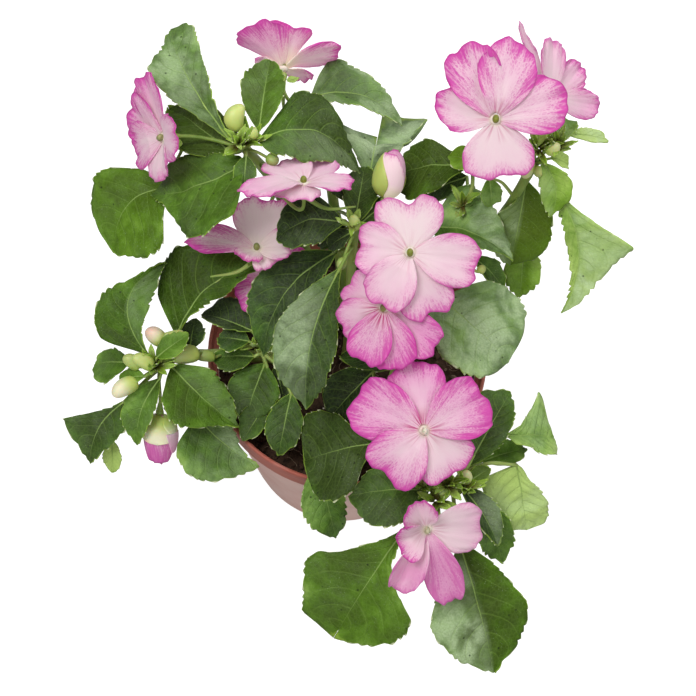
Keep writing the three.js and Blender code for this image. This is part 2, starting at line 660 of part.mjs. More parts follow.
// ---- stems -----------------------------------------------------------------------------------
function leafyStem(plan) {
  const curve = new THREE.CatmullRomCurve3(plan.path.map(point), false, "centripetal");
  const parts = [tube(curve, stem.foot, stem.end, stem.sides, stem.step)];
  for (const place of plan.leaves) parts.push(...leaf(place, curve));
  for (const place of plan.buds ?? []) parts.push(...greenBud(place, curve));
  for (const bloom of Object.values(plan.blooms ?? {})) {
    const frame = bloomFrame(bloom);
    const front = frame.centre.clone().addScaledVector(frame.face, -hub.back - clearance);
    parts.push(...cup(front, frame.face, curve, bloom.from ?? 0.97), spurTube(front, frame.face, bloom.curl));
  }
  for (const place of Object.values(plan.colourBuds ?? {})) {
    const face = point(place.tip).sub(point(place.base)).normalize();
    const front = point(place.base).addScaledVector(face, -clearance);
    parts.push(...cup(front, face, curve, place.from ?? 0.97));
  }
  return joined(parts);
}

// ---- pot and soil ----------------------------------------------------------------------------
// Radius of the pot's body at a height, on the outside.
function bodyRadius(z) {
  return lerp(pot.foot / 2, pot.top / 2 - pot.rimStep, z / (pot.height - pot.rimDrop));
}

function potSolid() {
  const under = pot.height - pot.rimDrop;
  const rim = pot.top / 2;
  const profile = [
    [0, 0],
    [pot.foot / 2, 0],
    [bodyRadius(under), under],
    [rim, under + 0.5],
    [rim, pot.height],
    [rim - pot.wall, pot.height],
    [bodyRadius(under) - pot.wall, under],
    [bodyRadius(pot.floor) - pot.wall, pot.floor],
    [0, pot.floor],
  ];
  const lathe = new THREE.LatheGeometry(profile.map(([x, y]) => new THREE.Vector2(x, y)), pot.segments);
  lathe.rotateX(Math.PI / 2);
  let body = solid(lathe);
  for (let i = 0; i < pot.drainCount; i++) {
    const angle = (2 * Math.PI * i) / pot.drainCount;
    const hole = new THREE.CylinderGeometry(pot.drainHole, pot.drainHole, 3 * pot.floor, pot.drainSides);
    hole.rotateX(Math.PI / 2);
    hole.translate(pot.drainRing * Math.cos(angle), pot.drainRing * Math.sin(angle), pot.floor / 2);
    body = body.subtract(solid(hole));
  }
  return body;
}

// The potting soil fills the pot; its top is domed and lumpy, with a plain hole for each stem.
function soilSolid() {
  const bottom = pot.floor + clearance;
  const inside = (z) => (bodyRadius(z) - pot.wall) * Math.cos(Math.PI / pot.segments) - clearance;
  const lump = (x, y) => soil.lump * Math.sin(0.31 * x + 1.3) * Math.cos(0.27 * y - 0.4);
  const points = [new THREE.Vector3(0, 0, bottom), new THREE.Vector3(0, 0, soil.level + soil.dome)];
  const triangles = [];
  const ringStart = (r) => 2 + r * soil.spokes;
  const onRing = (r, radius, z) => {
    for (let i = 0; i < soil.spokes; i++) {
      const angle = (2 * Math.PI * i) / soil.spokes;
      const [x, y] = [radius * Math.cos(angle), radius * Math.sin(angle)];
      points.push(new THREE.Vector3(x, y, z(x, y)));
    }
  };
  onRing(0, inside(bottom), () => bottom);
  const outer = inside(soil.level - soil.lump);
  [...soil.rings].reverse().forEach((part, r) => {
    const lift = soil.dome * (1 - part * part);
    onRing(r + 1, part * outer, (x, y) => soil.level + lift + (part < 1 ? lump(x, y) : -soil.lump));
  });
  const last = soil.rings.length;
  for (let i = 0; i < soil.spokes; i++) {
    const next = (i + 1) % soil.spokes;
    triangles.push([0, ringStart(0) + next, ringStart(0) + i]);
    triangles.push([1, ringStart(last) + i, ringStart(last) + next]);
    for (let r = 0; r < last; r++) {
      const [a, b] = [ringStart(r) + i, ringStart(r) + next];
      const [c, d] = [ringStart(r + 1) + i, ringStart(r + 1) + next];
      triangles.push([a, b, d], [a, d, c]);
    }
  }
  let body = solid(indexed(points, triangles));
  for (const plan of Object.values(stems)) {
    const [x, y, z] = plan.path[0];
    const radius = stem.foot + 4 * clearance;
    const hole = new THREE.CylinderGeometry(radius, radius, 3 * soil.holeDepth, soil.holeSides);
    hole.rotateX(Math.PI / 2);
    hole.translate(x, y, z - clearance + 1.5 * soil.holeDepth);
    body = body.subtract(solid(hole));
  }
  return body;
}

// ---- the object ------------------------------------------------------------------------------
const group = new THREE.Group();
group.add(node("pot", potSolid(), colour.pot, 0.55));
group.add(node("soil", soilSolid(), colour.peat, 0.95));
for (const [name, plan] of Object.entries(stems)) {
  group.add(node(name, leafyStem(plan), colour.leaf, 0.45));
  for (const [bloomName, bloom] of Object.entries(plan.blooms ?? {})) {
    group.add(node(bloomName, bloomSolid(bloom), colour.petal, 0.5));
  }
  for (const [budName, place] of Object.entries(plan.colourBuds ?? {})) {
    group.add(node(budName, budSolid(place), colour.deep, 0.5));
  }
}

export default group;
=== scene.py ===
# A busy lizzie (Impatiens walleriana) in a plain nursery pot. Measures are in millimetres, and
# mm turns them into Blender's metres where a mesh is made.
import math
import random

import bpy
import numpy as np
from mathutils import Matrix, Vector, noise


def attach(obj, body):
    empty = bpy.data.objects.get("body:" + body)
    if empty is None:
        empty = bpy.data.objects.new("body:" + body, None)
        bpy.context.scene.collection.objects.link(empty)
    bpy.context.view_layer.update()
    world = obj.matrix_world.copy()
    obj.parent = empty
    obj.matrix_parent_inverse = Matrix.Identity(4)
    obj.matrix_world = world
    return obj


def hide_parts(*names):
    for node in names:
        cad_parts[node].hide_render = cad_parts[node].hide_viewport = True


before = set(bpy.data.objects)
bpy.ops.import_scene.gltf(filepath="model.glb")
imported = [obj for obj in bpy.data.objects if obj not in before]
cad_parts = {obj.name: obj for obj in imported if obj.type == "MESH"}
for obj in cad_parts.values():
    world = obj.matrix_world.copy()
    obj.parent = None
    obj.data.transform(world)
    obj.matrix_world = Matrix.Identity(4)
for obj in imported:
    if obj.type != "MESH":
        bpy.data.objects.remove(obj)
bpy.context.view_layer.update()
bpy.ops.object.select_all(action="DESELECT")
print("frame loaded")

# What grows where: every leaf, bud and petal, by the name of its stem. A leaf runs from its base
# to its tip; left and right are the widths of its halves, sway bends it sideways and arch up, and
# a rim gives a half's width at shares of the length. Its look is its tone, the painted sheen on
# its left and right halves, its yellow and its specks. A petal is its turn in degrees, its length,
# its width and its lift in degrees. A tuft is its place and its count of leaves.
stems = {
    "stem_back_left": {
        "path": [[-10, 10, 69.3], [-10, 10, 87], [-19, 31, 115], [-33, 42, 150], [-42, 35, 184]],
        "leaves": [
            {
                "base": [-47, 38, 183], "tip": [-73, 85, 178], "left": 10, "right": 9, "sway": 4,
                "arch": 6,
                "look": (0.31, 0.65, 0.5, 0.1, 0.05),
                "leftRim": [
                    (0.07, 2.4), (0.2, 6), (0.33, 10), (0.5, 11.8), (0.62, 12), (0.7, 9), (0.78, 5),
                    (0.93, 2),
                ],
                "rightRim": [(0.1, 1.5), (0.26, 3.5), (0.44, 6.6), (0.66, 8.2), (0.85, 8.3), (0.95, 6)],
            },
            {
                "base": [-46, 36, 176], "tip": [-72, 60, 164], "left": 13, "right": 9, "arch": 3,
                "belly": 0.42,
                "look": (0.24, 0.05, 0.1, 0.25, 0.1),
            },
            {
                "base": [-41, 29.5, 181], "tip": [-75, 26, 161], "left": 12, "right": 14, "sway": 6,
                "arch": 4,
                "look": (0.33, 0.05, 0.1, 0.15, 0.1),
                "leftRim": [
                    (0.01, 14), (0.05, 19.5), (0.3, 21), (0.5, 19.4), (0.62, 12), (0.74, 5.2),
                    (0.87, 2.4), (0.95, 1.2),
                ],
                "rightRim": [(0.03, 4.2), (0.2, 8.6), (0.44, 13.8), (0.68, 12.8), (0.82, 7), (0.94, 2)],
            },
            {
                "base": [-68, 30, 160], "tip": [-88, 13, 138], "left": 18, "right": 18, "sway": -7,
                "arch": 4, "from": 0.82,
                "look": (0.38, 0.0, 0.05, 0.3, 0.1),
                "leftRim": [
                    (0.13, 8), (0.28, 15.5), (0.4, 21), (0.5, 23), (0.63, 21), (0.75, 16), (0.84, 10.5),
                    (0.95, 4),
                ],
                "rightRim": [
                    (0.03, 6), (0.1, 10), (0.2, 12), (0.35, 15.5), (0.53, 17), (0.7, 16.5), (0.84, 15),
                    (0.91, 11.5), (0.97, 6),
                ],
            },
            {
                "base": [-36.5, 41, 185], "tip": [-35.5, 71, 184], "left": 8, "right": 7, "arch": 3,
                "rise": [3, 1],
                "look": (0.3, 0.15, 0.05, 0.25, 0.05),
            },
            {
                "base": [-36, 37, 185], "tip": [0, 37.5, 168], "left": 17, "right": 11, "sway": 8,
                "arch": 4,
                "look": (0.24, 0.05, 0.25, 0.12, 0.15),
                "leftRim": [
                    (0.04, 2.5), (0.15, 9), (0.23, 14.5), (0.37, 15.5), (0.5, 15.5), (0.6, 12.5),
                    (0.76, 8), (0.92, 4),
                ],
                "rightRim": [(0.04, 4), (0.14, 9.5), (0.37, 13.5), (0.55, 12), (0.67, 10), (0.85, 4.5)],
            },
            {
                "base": [-40, 31, 183], "tip": [-40, 22, 177], "left": 4, "right": 4, "arch": 1,
                "look": (0.3, 0.1, 0.1, 0.1, 0),
            },
        ],
        "buds": [
            {"base": [-44.6, 39.4, 185], "tip": [-43, 46, 192], "wide": 7, "tone": 1.0, "bow": -0.16},
            {"base": [-39, 35, 188], "tip": [-37.5, 38.5, 190], "wide": 3.6, "tone": 0.8},
            {"base": [-33, 33, 180], "tip": [-29, 31, 181], "wide": 4.4, "tone": 0.35},
        ],
        "tufts": [[-42.6, 34, 185, 14], [-39, 37, 184, 8]],
        "blooms": {
            "bloom_far_left": {
                "at": [-68.8, 36, 183], "face": [-0.83, -0.41, 0.4], "from": 0.93,
                "petals": [
                    [-70, 23.4, 17, 8], [38, 20, 16, 12], [118, 15.4, 17, 14], [-155, 17, 17, 8],
                    [-110, 21, 17, 8],
                ],
            },
            "bloom_left_upper": {
                "at": [-19.3, 20, 186], "curl": -90, "face": [-0.07, 0.6, 0.8], "from": 0.82,
                "petals": [
                    [-164, 22, 18, 2], [-70, 17.5, 16, 2], [17, 12.5, 16, 0], [58, 24.5, 17, 0],
                    [152, 19, 18, 3],
                ],
            },
            "bloom_left_lower": {
                "at": [-35, 9.5, 156], "curl": 100, "face": [-0.05, 0.27, 0.96], "from": 0.66,
                "petals": [
                    [-169, 25.2, 21, 4], [-85, 13, 15, 3], [-40, 9, 13, 0], [38, 8, 11, 0],
                    [110, 26.3, 15, 2],
                ],
            },
        },
    },
    "stem_back": {
        "path": [[-2, 17, 69.3], [-2, 17, 87], [-6, 34, 112], [-12, 52, 138], [-17, 63, 154]],
        "leaves": [
            {
                "base": [-21, 73, 160], "tip": [14, 70, 150], "left": 15, "right": 4, "sway": 5,
                "arch": 4,
                "look": (0.32, 0.8, 0.6, 0.05, 0.05),
                "leftRim": [
                    (0.02, 8.5), (0.1, 15.8), (0.2, 14.6), (0.33, 11.4), (0.48, 9), (0.63, 7.2),
                    (0.75, 6), (0.85, 4.2), (0.94, 2),
                ],
                "rightRim": [(0.08, 3.6), (0.34, 6.2), (0.57, 6.4), (0.75, 4.8), (0.9, 2.4)],
            },
            {
                "base": [3, 42, 160], "tip": [4.7, 63.4, 150.5], "left": 18, "right": 18, "arch": 4,
                "rise": [4, 1], "horn": 17, "skew": 9,
                "look": (0.32, 0.95, 0.9, 0, 0.05),
                "leftRim": [(0.07, 3.5), (0.26, 7.5), (0.48, 12.5), (0.7, 16), (0.85, 18.5), (0.95, 19)],
                "rightRim": [(0.07, 4), (0.27, 8.5), (0.5, 10.5), (0.7, 13), (0.85, 15.5), (0.95, 18)],
            },
        ],
        "blooms": {
            "bloom_back": {
                "at": [-31.8, 78.6, 168], "face": [-0.08, 0.98, 0.16],
                "petals": [
                    [-25, 14.8, 20, 48], [57, 20.3, 24, 30], [142, 13, 14, 30], [-142, 15, 10, 8],
                    [-102, 22.6, 21, 18],
                ],
            },
        },
        "colourBuds": {
            "bud_egg": {"base": [9, 29, 166], "tip": [11.2, 42.4, 175.6], "wide": 11.2, "from": 0.62},
        },
    },
    "stem_back_right": {
        "path": [[13, 9, 69.3], [13, 9, 87], [25, 19.5, 112], [49, 30.5, 146], [60, 39, 182]],
        "leaves": [
            {
                "base": [62, 37, 184], "tip": [67, 24, 170], "left": 6, "right": 6, "sway": 3, "arch": 1,
                "look": (0.5, 0.0, 0.35, 0.5, 0),
            },
            {
                "base": [58.5, 38.5, 169], "tip": [57, 18.5, 142], "left": 14, "right": 8, "arch": 2,
                "rise": [-2, 3],
                "look": (0.25, 0.0, 0.6, 0.45, 0.05),
                "leftRim": [(0.09, 4.6), (0.18, 7.6), (0.32, 11.5), (0.6, 12.8), (0.8, 11.2), (0.93, 7)],
                "rightRim": [(0.1, 1.5), (0.22, 3), (0.36, 8.5), (0.55, 9), (0.75, 7.5), (0.9, 4.5)],
            },
            {
                "base": [62.5, 30, 139], "tip": [63, 13.5, 126], "left": 7, "right": 7, "arch": 1,
                "from": 0.75,
                "look": (0.48, 0.0, 0.1, 0.5, 0),
            },
            {
                "base": [70, 30, 174], "tip": [76, 1, 142], "left": 15, "right": 5, "sway": 6, "arch": 2,
                "rise": [4, -3],
                "look": (0.6, 0.85, 0, 0.15, 0.1),
                "leftRim": [
                    (0.1, 3), (0.25, 9), (0.43, 18.5), (0.55, 13), (0.68, 8.5), (0.85, 4.5), (0.95, 2.5),
                ],
                "rightRim": [(0.15, 3.5), (0.35, 4), (0.57, 3), (0.8, 1)],
            },
            {
                "base": [71, 50.3, 183], "tip": [86.5, 53, 177], "left": 2.6, "right": 3.2, "arch": 1,
                "look": (0.85, 0.9, 0.9, 0.05, 0),
            },
            {
                "base": [64, 43, 185], "tip": [74, 56, 183], "left": 4.5, "right": 3, "arch": 1,
                "look": (0.5, 0.5, 0.2, 0.2, 0),
            },
            {
                "base": [59, 41, 188], "tip": [60, 49, 191], "left": 3, "right": 3, "arch": 0.5,
                "look": (0.75, 0.1, 0.0, 0.7, 0),
            },
            {
                "base": [65, 40, 183], "tip": [72, 41, 177], "left": 3.5, "right": 3.5, "arch": 1,
                "look": (0.75, 0.1, 0.1, 0.6, 0),
            },
            {
                "base": [45, 36.5, 172], "tip": [47, 30, 163], "left": 4, "right": 4, "arch": 1,
                "from": 0.85,
                "look": (0.45, 0.2, 0.2, 0.1, 0),
            },
            {
                "base": [46, 37, 178], "tip": [30, 44, 172], "left": 6, "right": 6, "arch": 2,
                "look": (0.4, 0.0, 0.0, 0.5, 0),
            },
        ],
        "buds": [
            {"base": [57.8, 37.5, 184], "tip": [55.7, 31, 183], "wide": 5, "tone": 1.0, "cream": 0.5},
            {"base": [62, 40, 187], "tip": [67, 41.5, 189], "wide": 4.5, "tone": 1.0, "cream": 0.4},
            {"base": [60, 36, 183], "tip": [61, 32, 183], "wide": 3.2, "tone": 0.8},
        ],
        "tufts": [[60, 41, 186, 14], [66, 43, 186, 9]],
        "blooms": {
            "bloom_right_front": {
                "at": [43, 41, 202], "face": [0, -0.41, 0.91],
                "petals": [
                    [9, 27.4, 20, 1], [68, 25.3, 20, 2], [171, 19.9, 24, 0], [-77, 21.6, 16.5, 2],
                    [-30, 27.3, 18.5, 2],
                ],
            },
            "bloom_right_back": {
                "at": [63, 61, 187], "face": [0.5, -0.32, 0.81],
                "petals": [
                    [14, 29, 4.5, 8], [46, 21.2, 11, 4], [94, 20, 11.5, 4], [140, 21, 11, 0],
                    [-60, 20, 9, 12],
                ],
            },
        },
    },
    "stem_right": {
        "path": [[20, -3, 69.3], [20, -3, 87], [27, 8, 112], [32, 20, 140], [36, 29, 160]],
        "leaves": [
            {
                "base": [39, 44, 169], "tip": [12, 43, 159], "left": 13, "right": 10.5, "arch": 3,
                "belly": 0.66,
                "look": (0.2, 0.0, 0.0, 0.2, 0.05),
            },
            {
                "base": [38, 44, 160], "tip": [23, 40, 148], "left": 6, "right": 6, "arch": 2,
                "look": (0.2, 0.1, 0.1, 0.05, 0),
            },
            {
                "base": [26, 25, 155], "tip": [56, 13, 158], "left": 11, "right": 10, "sway": 2,
                "arch": 4, "rise": [2, 0],
                "look": (0.36, 0.85, 0.2, 0.05, 0.05),
                "leftRim": [
                    (0.03, 11), (0.09, 15.5), (0.23, 17.5), (0.4, 15.5), (0.6, 10.5), (0.76, 7),
                    (0.9, 3.5),
                ],
                "rightRim": [(0.2, 8), (0.4, 9), (0.5, 7.5), (0.65, 4.5), (0.83, 1.5)],
            },
            {
                "base": [43, 17, 149], "tip": [56, 11, 138], "left": 4.5, "right": 4.5, "arch": 1,
                "from": 0.8,
                "look": (0.35, 0.1, 0.1, 0.1, 0),
            },
            {
                "base": [28, 2, 148], "tip": [58, -18, 137], "left": 19, "right": 21, "arch": 3,
                "from": 0.72,
                "look": (0.4, 0.95, 0.8, 0, 0.1),
                "leftRim": [
                    (0.11, 2), (0.22, 11), (0.32, 16.5), (0.5, 20), (0.69, 19.8), (0.81, 17.6),
                    (0.93, 11), (0.98, 5.5),
                ],
                "rightRim": [
                    (0.11, 8), (0.26, 13.5), (0.48, 17.6), (0.73, 16), (0.86, 12.8), (0.93, 9.5),
                    (0.98, 5),
                ],
            },
        ],
        "buds": [
            {"base": [44.6, 11.2, 149], "tip": [46.8, 13.3, 150], "wide": 3.2, "from": 0.8, "tone": 1.0},
        ],
        "tufts": [[37, 31, 161, 7]],
        "blooms": {
            "bloom_centre_upper": {
                "at": [18, -2, 184], "face": [0.02, -0.4, 0.92], "from": 0.85,
                "petals": [
                    [-3, 20, 23, 0], [98, 23.6, 18, 1], [158, 22.9, 19, 0], [-151, 20.9, 17, 2],
                    [-86, 18, 18, 2],
                ],
            },
        },
    },
    "stem_middle": {
        "path": [[0, 3, 69.3], [0, 3, 87], [1, 6, 112], [-1, 10, 142], [-1, 15, 168]],
        "leaves": [
            {
                "base": [-5, 15, 171], "tip": [-28, 10, 164], "left": 10, "right": 11, "sway": -2,
                "arch": 4, "belly": 0.52,
                "look": (0.16, 0.12, 0.1, 0, 0.05),
            },
            {
                "base": [-2, 14, 166], "tip": [-10, 11, 158], "left": 4, "right": 4, "arch": 1,
                "look": (0.2, 0.1, 0.1, 0, 0),
            },
            {
                "base": [-4, 18, 162], "tip": [-14, 15, 152], "left": 4.5, "right": 4.5, "arch": 1,
                "look": (0.22, 0.1, 0.1, 0, 0),
            },
            {
                "base": [-3, 18, 160], "tip": [8, 20, 146], "left": 4, "right": 6, "arch": 2,
                "look": (0.22, 0.1, 0.1, 0, 0),
            },
            {
                "base": [-3, 28, 163], "tip": [-12, 40, 160], "left": 4, "right": 4, "arch": 1,
                "look": (0.2, 0.1, 0.1, 0, 0),
            },
            {
                "base": [-1, 17, 167], "tip": [1, 46, 160], "left": 6, "right": 6.5, "arch": 2,
                "look": (0.2, 0.05, 0.05, 0.1, 0),
            },
            {
                "base": [0, 17, 165], "tip": [12, 31, 161], "left": 4, "right": 5, "arch": 2,
                "look": (0.18, 0.05, 0.05, 0.1, 0),
            },
            {
                "base": [-7, 10, 158], "tip": [-31, -21, 132], "left": 9, "right": 12, "sway": -6,
                "arch": 2, "belly": 0.5, "from": 0.88,
                "look": (0.22, 0.12, 0.1, 0, 0.1),
            },
            {
                "base": [-5, 0, 165], "tip": [-13, -44, 141], "left": 9, "right": 14, "sway": -3,
                "arch": 8, "from": 0.9,
                "look": (0.24, 0.1, 0.7, 0.05, 0.15),
                "leftRim": [(0.1, 2.5), (0.27, 6.5), (0.53, 9.5), (0.79, 7), (0.92, 3)],
                "rightRim": [
                    (0.03, 1.5), (0.15, 6.5), (0.32, 10.5), (0.47, 13.5), (0.64, 12.5), (0.83, 9),
                    (0.94, 2.5),
                ],
            },
        ],
        "buds": [
            {"base": [-0.5, 13.5, 168], "tip": [-2.2, 18, 171.5], "wide": 4.2, "tone": 0.8},
            {"base": [-3.9, 5.2, 163], "tip": [-4.9, 0.9, 162], "wide": 3.6, "tone": 0.5},
        ],
        "tufts": [[-2, 15.5, 169, 6]],
        "blooms": {
            "bloom_centre_lower": {
                "at": [11, -17, 172], "face": [-0.15, -0.52, 0.84], "from": 0.8,
                "petals": [
                    [110, 23, 15, 0], [148, 21.9, 16, 1], [-178, 20.3, 15, 2], [-132, 16.6, 15, 1],
                    [-73, 15.2, 14, 0],
                ],
            },
        },
    },
    "stem_inner_left": {
        "path": [[-13, -11, 69.3], [-13, -11, 87], [-20, -12, 98], [-33, -12, 117]],
        "tufts": [[-34.5, -11, 118, 8]],
        "leaves": [
            {
                "base": [-37, -11, 122], "tip": [-49, -9, 118], "left": 6, "right": 5, "arch": 1,
                "look": (0.2, 0.1, 0.1, 0, 0),
            },
            {
                "base": [-35, -14, 115], "tip": [-51, -14.5, 112], "left": 7, "right": 3.5, "arch": 1,
                "look": (0.25, 0.1, 0.1, 0.1, 0),
            },
            {
                "base": [-36, -8, 125], "tip": [-56, -1, 121], "left": 4, "right": 9, "arch": 2,
                "look": (0.2, 0.1, 0.1, 0, 0),
            },
            {
                "base": [-27, -14, 107], "tip": [-22, -27, 100], "left": 4, "right": 4, "arch": 1,
                "look": (0.2, 0.1, 0.1, 0, 0),
            },
            {
                "base": [-31, -15, 111], "tip": [-37, -34, 99], "left": 10, "right": 10, "arch": 2,
                "look": (0.34, 0.12, 0.12, 0.1, 0.05),
            },
            {
                "base": [-20, -26, 110], "tip": [-23, -46, 96], "left": 7, "right": 7, "arch": 2,
                "look": (0.3, 0.15, 0.15, 0.05, 0.05),
            },
            {
                "base": [-29, -27, 101], "tip": [-37, -42, 99], "left": 5, "right": 6, "arch": 1,
                "look": (0.34, 0.1, 0.1, 0.1, 0),
            },
        ],
        "blooms": {
            "bloom_hidden": {
                "at": [-28, 10, 130], "face": [0.05, 0.1, 0.99],
                "petals": [
                    [-130, 19, 17, 2], [-55, 17, 17, 0], [30, 17, 15, -2], [92, 16, 16, 0],
                    [160, 17, 17, 4],
                ],
            },
        },
    },
    "stem_left": {
        "path": [
            [-22, -2, 69.3], [-22, -2, 87], [-35, -8, 101], [-50, -12, 109], [-62, -16, 115],
            [-69, -25, 122],
        ],
        "leaves": [
            {
                "base": [-63, -14, 129], "tip": [-30, 11, 144], "left": 19, "right": 8, "sway": 6,
                "arch": 4, "rise": [0, -5],
                "look": (0.27, 0.0, 0.0, 0.15, 0.1),
                "leftRim": [
                    (0.02, 8.5), (0.05, 15), (0.11, 17), (0.26, 20.5), (0.42, 20), (0.62, 15.5),
                    (0.82, 9.5), (0.91, 4),
                ],
                "rightRim": [(0.1, 1), (0.2, 2), (0.32, 4), (0.54, 5.5), (0.74, 4), (0.9, 1.5)],
            },
            {
                "base": [-73, -22, 128], "tip": [-69, 11, 138], "left": 11, "right": 7, "sway": 10,
                "arch": 4,
                "look": (0.33, 0.02, 0.3, 0.15, 0.05),
                "leftRim": [
                    (0.02, 11.5), (0.06, 15), (0.2, 14), (0.36, 11.4), (0.54, 9), (0.66, 5.8),
                    (0.77, 2.5),
                ],
                "rightRim": [
                    (0.1, 2), (0.23, 4), (0.33, 6.5), (0.43, 8), (0.6, 8.5), (0.7, 7.8), (0.85, 4.5),
                ],
            },
            {
                "base": [-69, -24, 130], "tip": [-58, -15, 133], "left": 4, "right": 5, "arch": 1,
                "look": (0.38, 0.1, 0.1, 0.2, 0),
            },
            {
                "base": [-80, -22, 119], "tip": [-95, -21, 112], "left": 9, "right": 5, "arch": 1,
                "belly": 0.5,
                "look": (0.4, 0.1, 0.1, 0.15, 0),
            },
            {
                "base": [-73, -30, 126], "tip": [-83, -30, 120], "left": 3.5, "right": 3.5, "arch": 1,
                "look": (0.45, 0.1, 0.1, 0.3, 0),
            },
            {
                "base": [-68, -29, 122], "tip": [-75, -50, 107], "left": 5, "right": 7, "sway": -2,
                "arch": 3,
                "look": (0.36, 0.1, 0.1, 0.15, 0),
            },
            {
                "base": [-82, -34, 109], "tip": [-94, -54, 93], "left": 6, "right": 12, "sway": -3,
                "arch": 2, "rise": [0, 4],
                "look": (0.3, 0.1, 0.15, 0.1, 0.05),
                "leftRim": [(0.1, 4), (0.29, 9), (0.58, 7.5), (0.84, 3.5)],
                "rightRim": [(0.15, 1.5), (0.36, 6), (0.6, 13), (0.75, 8), (0.88, 3.5)],
            },
            {
                "base": [-87, -44, 94], "tip": [-86, -54, 84], "left": 3.5, "right": 3.5, "arch": 1,
                "from": 0.9,
                "look": (0.8, 0.1, 0.1, 0.5, 0),
            },
            {
                "base": [-64, -24, 123], "tip": [-38, -41, 111], "left": 12, "right": 13, "sway": -2,
                "arch": 4,
                "look": (0.34, 0.15, 0.02, 0.2, 0.35),
                "leftRim": [(0.05, 3), (0.18, 6.5), (0.36, 10), (0.57, 9), (0.74, 6.5), (0.9, 2.5)],
                "rightRim": [
                    (0.03, 4), (0.08, 7), (0.15, 12), (0.35, 15), (0.5, 14), (0.67, 9), (0.78, 5),
                    (0.9, 2),
                ],
            },
            {
                "base": [-55, -35.5, 104], "tip": [-30, -50, 93], "left": 7, "right": 17, "sway": -2,
                "arch": 2, "from": 0.85,
                "look": (0.42, 0.6, 0.3, 0.1, 0.05),
                "leftRim": [(0.1, 5), (0.3, 7.5), (0.5, 6), (0.65, 3), (0.8, 0.8), (0.92, 0.8)],
                "rightRim": [
                    (0.01, 12), (0.1, 16.2), (0.3, 18.4), (0.49, 17), (0.66, 13.5), (0.78, 9.5),
                    (0.88, 5.5), (0.96, 2),
                ],
            },
            {
                "base": [-59, -14, 117], "tip": [-58, -3, 121], "left": 5, "right": 5, "arch": 1,
                "from": 0.8,
                "look": (0.24, 0.1, 0.1, 0, 0),
            },
        ],
        "buds": [
            {
                "base": [-67.3, -17.2, 128], "tip": [-73.8, -14, 132], "wide": 6.4, "tone": 0.9,
                "cream": 1.0, "pink": 1.0,
            },
            {"base": [-68.2, -16, 128], "tip": [-60, -13.9, 131], "wide": 5.6, "tone": 1.0},
            {"base": [-75, -26.6, 126], "tip": [-80.9, -24.6, 130], "wide": 5.4, "tone": 0.6},
            {"base": [-70.2, -26.6, 127], "tip": [-77.3, -25.2, 132], "wide": 5.6, "tone": 0.9},
            {
                "base": [-75.7, -31.3, 124], "tip": [-83.6, -38, 125], "wide": 6.6, "tone": 1.0,
                "cream": 0.9,
            },
            {
                "base": [-55, -17.1, 121], "tip": [-64.4, -21.2, 124], "wide": 7.2, "from": 0.7,
                "tone": 0.95,
            },
            {
                "base": [-49.4, -16, 116], "tip": [-56.4, -17.4, 118.5], "wide": 4.6, "from": 0.6,
                "tone": 0.5,
            },
        ],
        "tufts": [[-68.9, -25.5, 126, 12]],
        "colourBuds": {
            "bud_opening": {"base": [-68, -38, 109], "tip": [-68, -53, 97], "wide": 12},
        },
    },
    "stem_front": {
        "path": [[0, -15, 69.3], [0, -15, 87], [4, -23, 101], [9, -32, 117]],
        "leaves": [
            {
                "base": [10, -18, 119], "tip": [-5, -34, 107], "left": 10, "right": 10, "arch": 2,
                "look": (0.2, 0.05, 0.05, 0, 0),
            },
            {
                "base": [17, -17, 121], "tip": [-3, -10, 113], "left": 5, "right": 5, "arch": 2,
                "look": (0.2, 0.05, 0.05, 0, 0),
            },
            {
                "base": [15, -44, 115], "tip": [-13, -49, 102], "left": 17, "right": 19, "arch": 3,
                "look": (0.19, 0.08, 0.05, 0.12, 0.9),
                "leftRim": [(0.1, 4), (0.25, 10), (0.36, 17), (0.59, 20.5), (0.82, 17.5), (0.93, 11)],
                "rightRim": [(0.1, 2.5), (0.28, 6.5), (0.44, 13), (0.67, 16.5), (0.88, 16), (0.96, 11)],
            },
            {
                "base": [-8, -50, 99], "tip": [1, -72, 81], "left": 7, "right": 10, "arch": 2,
                "from": 0.8,
                "look": (0.36, 0.15, 0.15, 0.1, 0.4),
            },
        ],
    },
    "stem_front_right": {
        "path": [[15, -18, 69.3], [15, -18, 87], [24, -32, 103], [34, -49, 118], [42, -63, 126]],
        "leaves": [
            {
                "base": [46, -55, 128], "tip": [61, -23, 122], "left": 12, "right": 7, "arch": 3,
                "rise": [2, 0],
                "look": (0.34, 0.1, 0.1, 0.1, 0),
            },
            {
                "base": [60, -41, 124], "tip": [79, -36, 113], "left": 15, "right": 8, "arch": 1,
                "rise": [4, 3],
                "look": (0.5, 0.35, 0.35, 0.15, 0),
                "leftRim": [(0.26, 3.5), (0.5, 9), (0.68, 16), (0.8, 13.5), (0.91, 6.5)],
                "rightRim": [(0.06, 4), (0.33, 6), (0.6, 9), (0.87, 8), (0.95, 5)],
            },
            {
                "base": [52, -49, 117], "tip": [69, -40, 110], "left": 5, "right": 5, "arch": 1,
                "look": (0.42, 0.1, 0.1, 0.2, 0),
            },
            {
                "base": [64.6, -49.4, 116], "tip": [72, -67.8, 95.4], "left": 12, "right": 12, "arch": 1,
                "look": (0.78, 0.5, 0.5, 0.35, 0),
                "leftRim": [(0.06, 2), (0.25, 4), (0.41, 7), (0.66, 9.8), (0.88, 9.2), (0.96, 6.8)],
                "rightRim": [
                    (0.01, 12), (0.07, 14.6), (0.22, 14.4), (0.57, 11.4), (0.78, 9.2), (0.93, 6.8),
                ],
            },
            {
                "base": [44, -62, 124], "tip": [59, -79, 112], "left": 6, "right": 4, "sway": 1,
                "arch": 2, "rise": [1, 2],
                "look": (0.24, 0.4, 0.15, 0, 0),
            },
            {
                "base": [54, -63, 110], "tip": [63, -80, 95], "left": 7, "right": 7, "arch": 1,
                "look": (0.3, 0.1, 0.1, 0.1, 0),
            },
